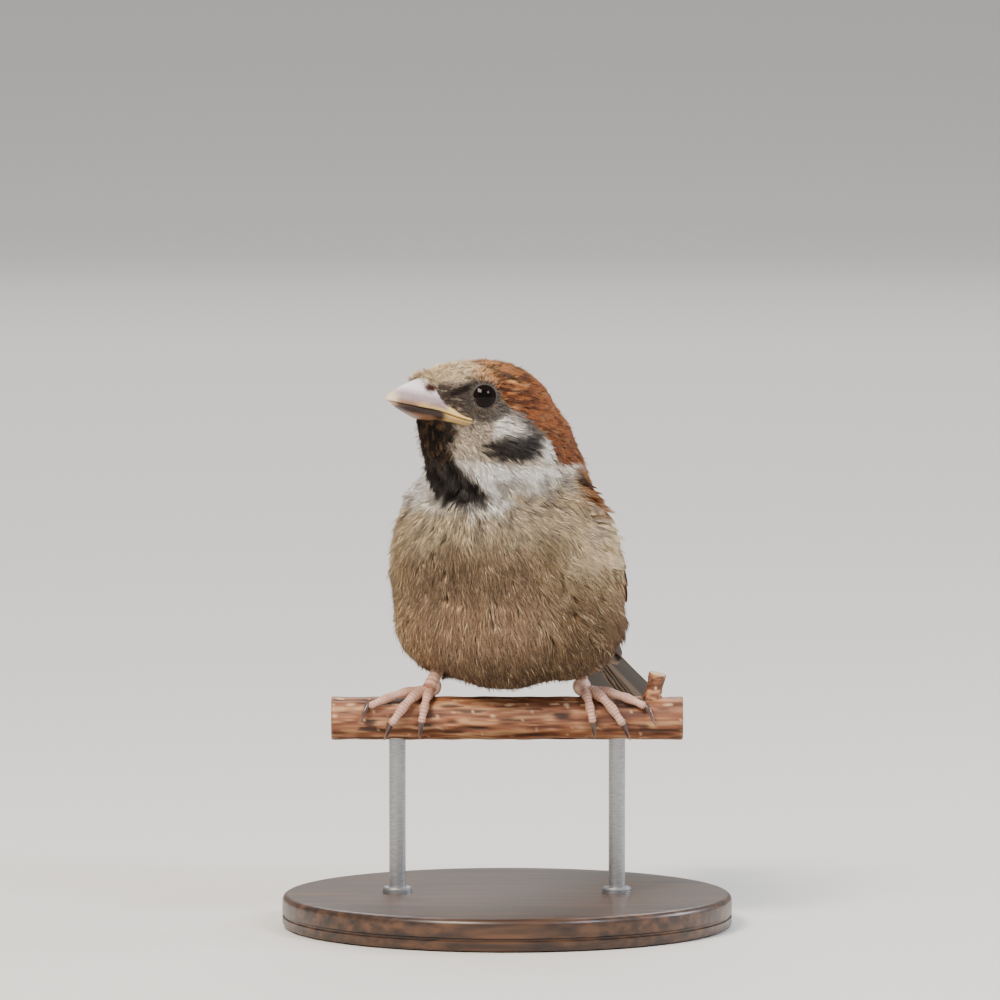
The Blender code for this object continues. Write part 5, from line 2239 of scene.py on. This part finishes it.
@dataclass
class Stand:
    """A turned walnut base and the two steel rods that carry the twig."""

    radius: float = 41.0
    height: float = 6.0
    rim: float = 1.2
    rod_radius: float = 1.5
    rod_x: float = 20.0
    collar: Pair = (2.7, 1.1)  # radius and height

    @staticmethod
    def turned(name: str, centre: float, profile: Sequence[Pair], around: int) -> Object:
        """Turns a profile about an upright axis.

        Args:
            name: The piece's name.
            centre: The axis's place along the twig.
            profile: Radius and height at each point, from the bottom up.
            around: Points round it.

        Returns:
            The piece.
        """
        angle = circle(around)
        rings = [np.broadcast_arrays(centre + r * np.cos(angle), r * np.sin(angle), z) for r, z in profile]
        piece = loft(name, np.stack(rings).transpose(0, 2, 1) * MM)
        piece.data.set_sharp_from_angle(angle=radians(35))
        return piece

    def build(self, wood: Material, steel: Material) -> None:
        """Makes and dresses the base and rods.

        Args:
            wood: The base's finish.
            steel: The rods'.
        """
        edge, top = self.radius, self.height
        corner = [(edge - self.rim * (1.0 - sin(a)), top - self.rim * (1.0 - cos(a)))
                  for a in np.linspace(pi / 2, 0.0, 9)]
        groove = [(edge, 1.9), (edge - 0.35, 2.1), (edge - 0.35, 2.4), (edge, 2.6)]
        profile = [(0.5, 0.0), (edge - 1.0, 0.0), (edge - 0.3, 0.3), (edge, 0.9), *groove, *corner,
                   (edge - 6.0, top), (20.0, top), (0.5, top)]
        base = self.turned("stand_base_walnut", 0.0, profile, 160)
        hand_in(base, wood, ["stand_base"])
        top = POSE.perch_top - 2.0 * POSE.perch_radius + 0.9
        low, rod, (wide, tall) = self.height, self.rod_radius, self.collar
        profile = [(0.2, low), (wide, low), (wide, low + tall * 0.7), (wide - 0.3, low + tall),
                   (rod + 0.25, low + tall), (rod, low + tall + 0.2), (rod, mix(low, top, 0.5)),
                   (rod, top), (0.2, top)]
        for word, side in SIDES.items():
            piece = self.turned(f"stand_rod_{word}_steel", side * self.rod_x, profile, 48)
            hand_in(piece, steel, [f"stand_rod_{word}"])


# --- studio ---


@dataclass
class Studio:
    """A pale floor, soft boxes and the camera."""

    camera_far: float = 1.5
    camera_rise: float = 4.0  # degrees
    view_wide: float = 0.1818  # width of the frame at the bird
    aim: Triple = (-0.0013, 0.0, 0.0778)
    sensor: float = 36.0

    def floor(self) -> None:
        """Lays a large matt floor that curves up into a backdrop far behind."""
        curve = [(3.0 + 1.5 * sin(a), 1.5 - 1.5 * cos(a)) for a in np.linspace(0.0, pi / 2, 14)]
        profile = [(-3.0, 0.0), *curve, (4.5, 5.0)]
        points = [(x, y, z) for y, z in profile for x in (-6.0, 6.0)]
        faces = np.array([(2 * i, 2 * i + 1, 2 * i + 3, 2 * i + 2) for i in range(len(profile) - 1)])
        obj = solid("floor", np.array(points), faces)
        obj.data.materials.append(BACKDROP_PAPER.build())

    def hang(self, name: str, data: bpy.types.ID, place: Vector) -> Object:
        """Puts a light or camera at a place in metres, facing the bird."""
        obj = linked(name, data)
        obj.location = place
        obj.rotation_euler = (Vector(self.aim) - place).to_track_quat("-Z", "Y").to_euler()
        return obj

    def light(self, name: str, place: Triple, size: float, power: float, warm: str = "#ffffff") -> None:
        """Hangs a soft box that faces the bird.

        Args:
            name: The light's name.
            place: Where it hangs, in metres.
            size: The width of its face.
            power: Its power in watts.
            warm: Its colour.
        """
        data = bpy.data.lights.new(name, "AREA")
        data.shape, data.size, data.energy = "SQUARE", size, power
        data.color = to_linear(warm)
        self.hang(name, data, Vector(place))

    def build(self) -> None:
        """Sets the floor, lights, world and camera."""
        self.floor()
        self.light("key_box", (-0.5, -0.75, 0.95), 0.42, 24.0, "#fff2e2")
        self.light("second_box", (0.62, -0.58, 0.68), 0.26, 5.5, "#eaf1ff")
        self.light("rim_box", (0.95, 0.25, 0.45), 0.3, 7.0, "#f2f6ff")
        self.light("backdrop_box", (0.0, 2.0, 2.2), 2.0, 60.0)
        world = bpy.data.worlds.new("studio")
        bpy.context.scene.world = world
        world.use_nodes = True
        sky = world.node_tree.nodes["Background"]
        sky.inputs["Color"].default_value = (*to_linear("#e9ecf0"), 1.0)
        sky.inputs["Strength"].default_value = 0.55
        data = bpy.data.cameras.new("camera")
        data.sensor_width = self.sensor
        data.lens = self.sensor * self.camera_far / self.view_wide
        data.clip_start = 0.01
        rise = radians(self.camera_rise)
        away = Vector((0.0, -cos(rise), sin(rise))) * self.camera_far
        bpy.context.scene.camera = self.hang("camera", data, Vector(self.aim) + away)


def main() -> None:
    """Builds every piece in order and reports each."""
    logging.basicConfig(level=logging.INFO, format="%(name)s: %(message)s")
    eyes = {}
    for word in SIDES:
        low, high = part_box(f"eye_{word}")
        eyes[word] = np.array((low + high) / 2)
    feathers = {"coat": COAT_FEATHER.build(), "vane": VANE_FEATHER.build()}
    markings = Markings()
    maker = Skin(markings, eyes)
    skin = hand_in(maker.build(), UNDER_SKIN.build(), maker.nodes)
    surface = Surface.of(skin)
    coat = Coat(surface, maker, markings, eyes)
    for piece in coat.grow():
        hand_in(piece, feathers["coat"])
    Mantle(coat).build(feathers["vane"])
    for word in SIDES:
        Wing(word).build(feathers["vane"])
    Tail().build(feathers["vane"])
    glass, lid = EYE_GLASS.build(), LID_SKIN.build()
    for word, centre in eyes.items():
        eye = Eye(word, centre)
        eye.build(glass, lid)
        lashes = coat.mesh(f"coat_lid_{word}", eye.lashes(markings), free=True)
        hand_in(lashes, feathers["coat"])
    Bill().build(BILL_HORN.build())
    leg_skin, claw_horn = LEG_SKIN.build(), CLAW_HORN.build()
    for word in SIDES:
        Leg(word).build(leg_skin, claw_horn)
    Perch().build(TWIG_BARK.build())
    Stand().build(BASE_WALNUT.build(), ROD_STEEL.build())
    Studio().build()


if __name__ == "__main__":
    main()
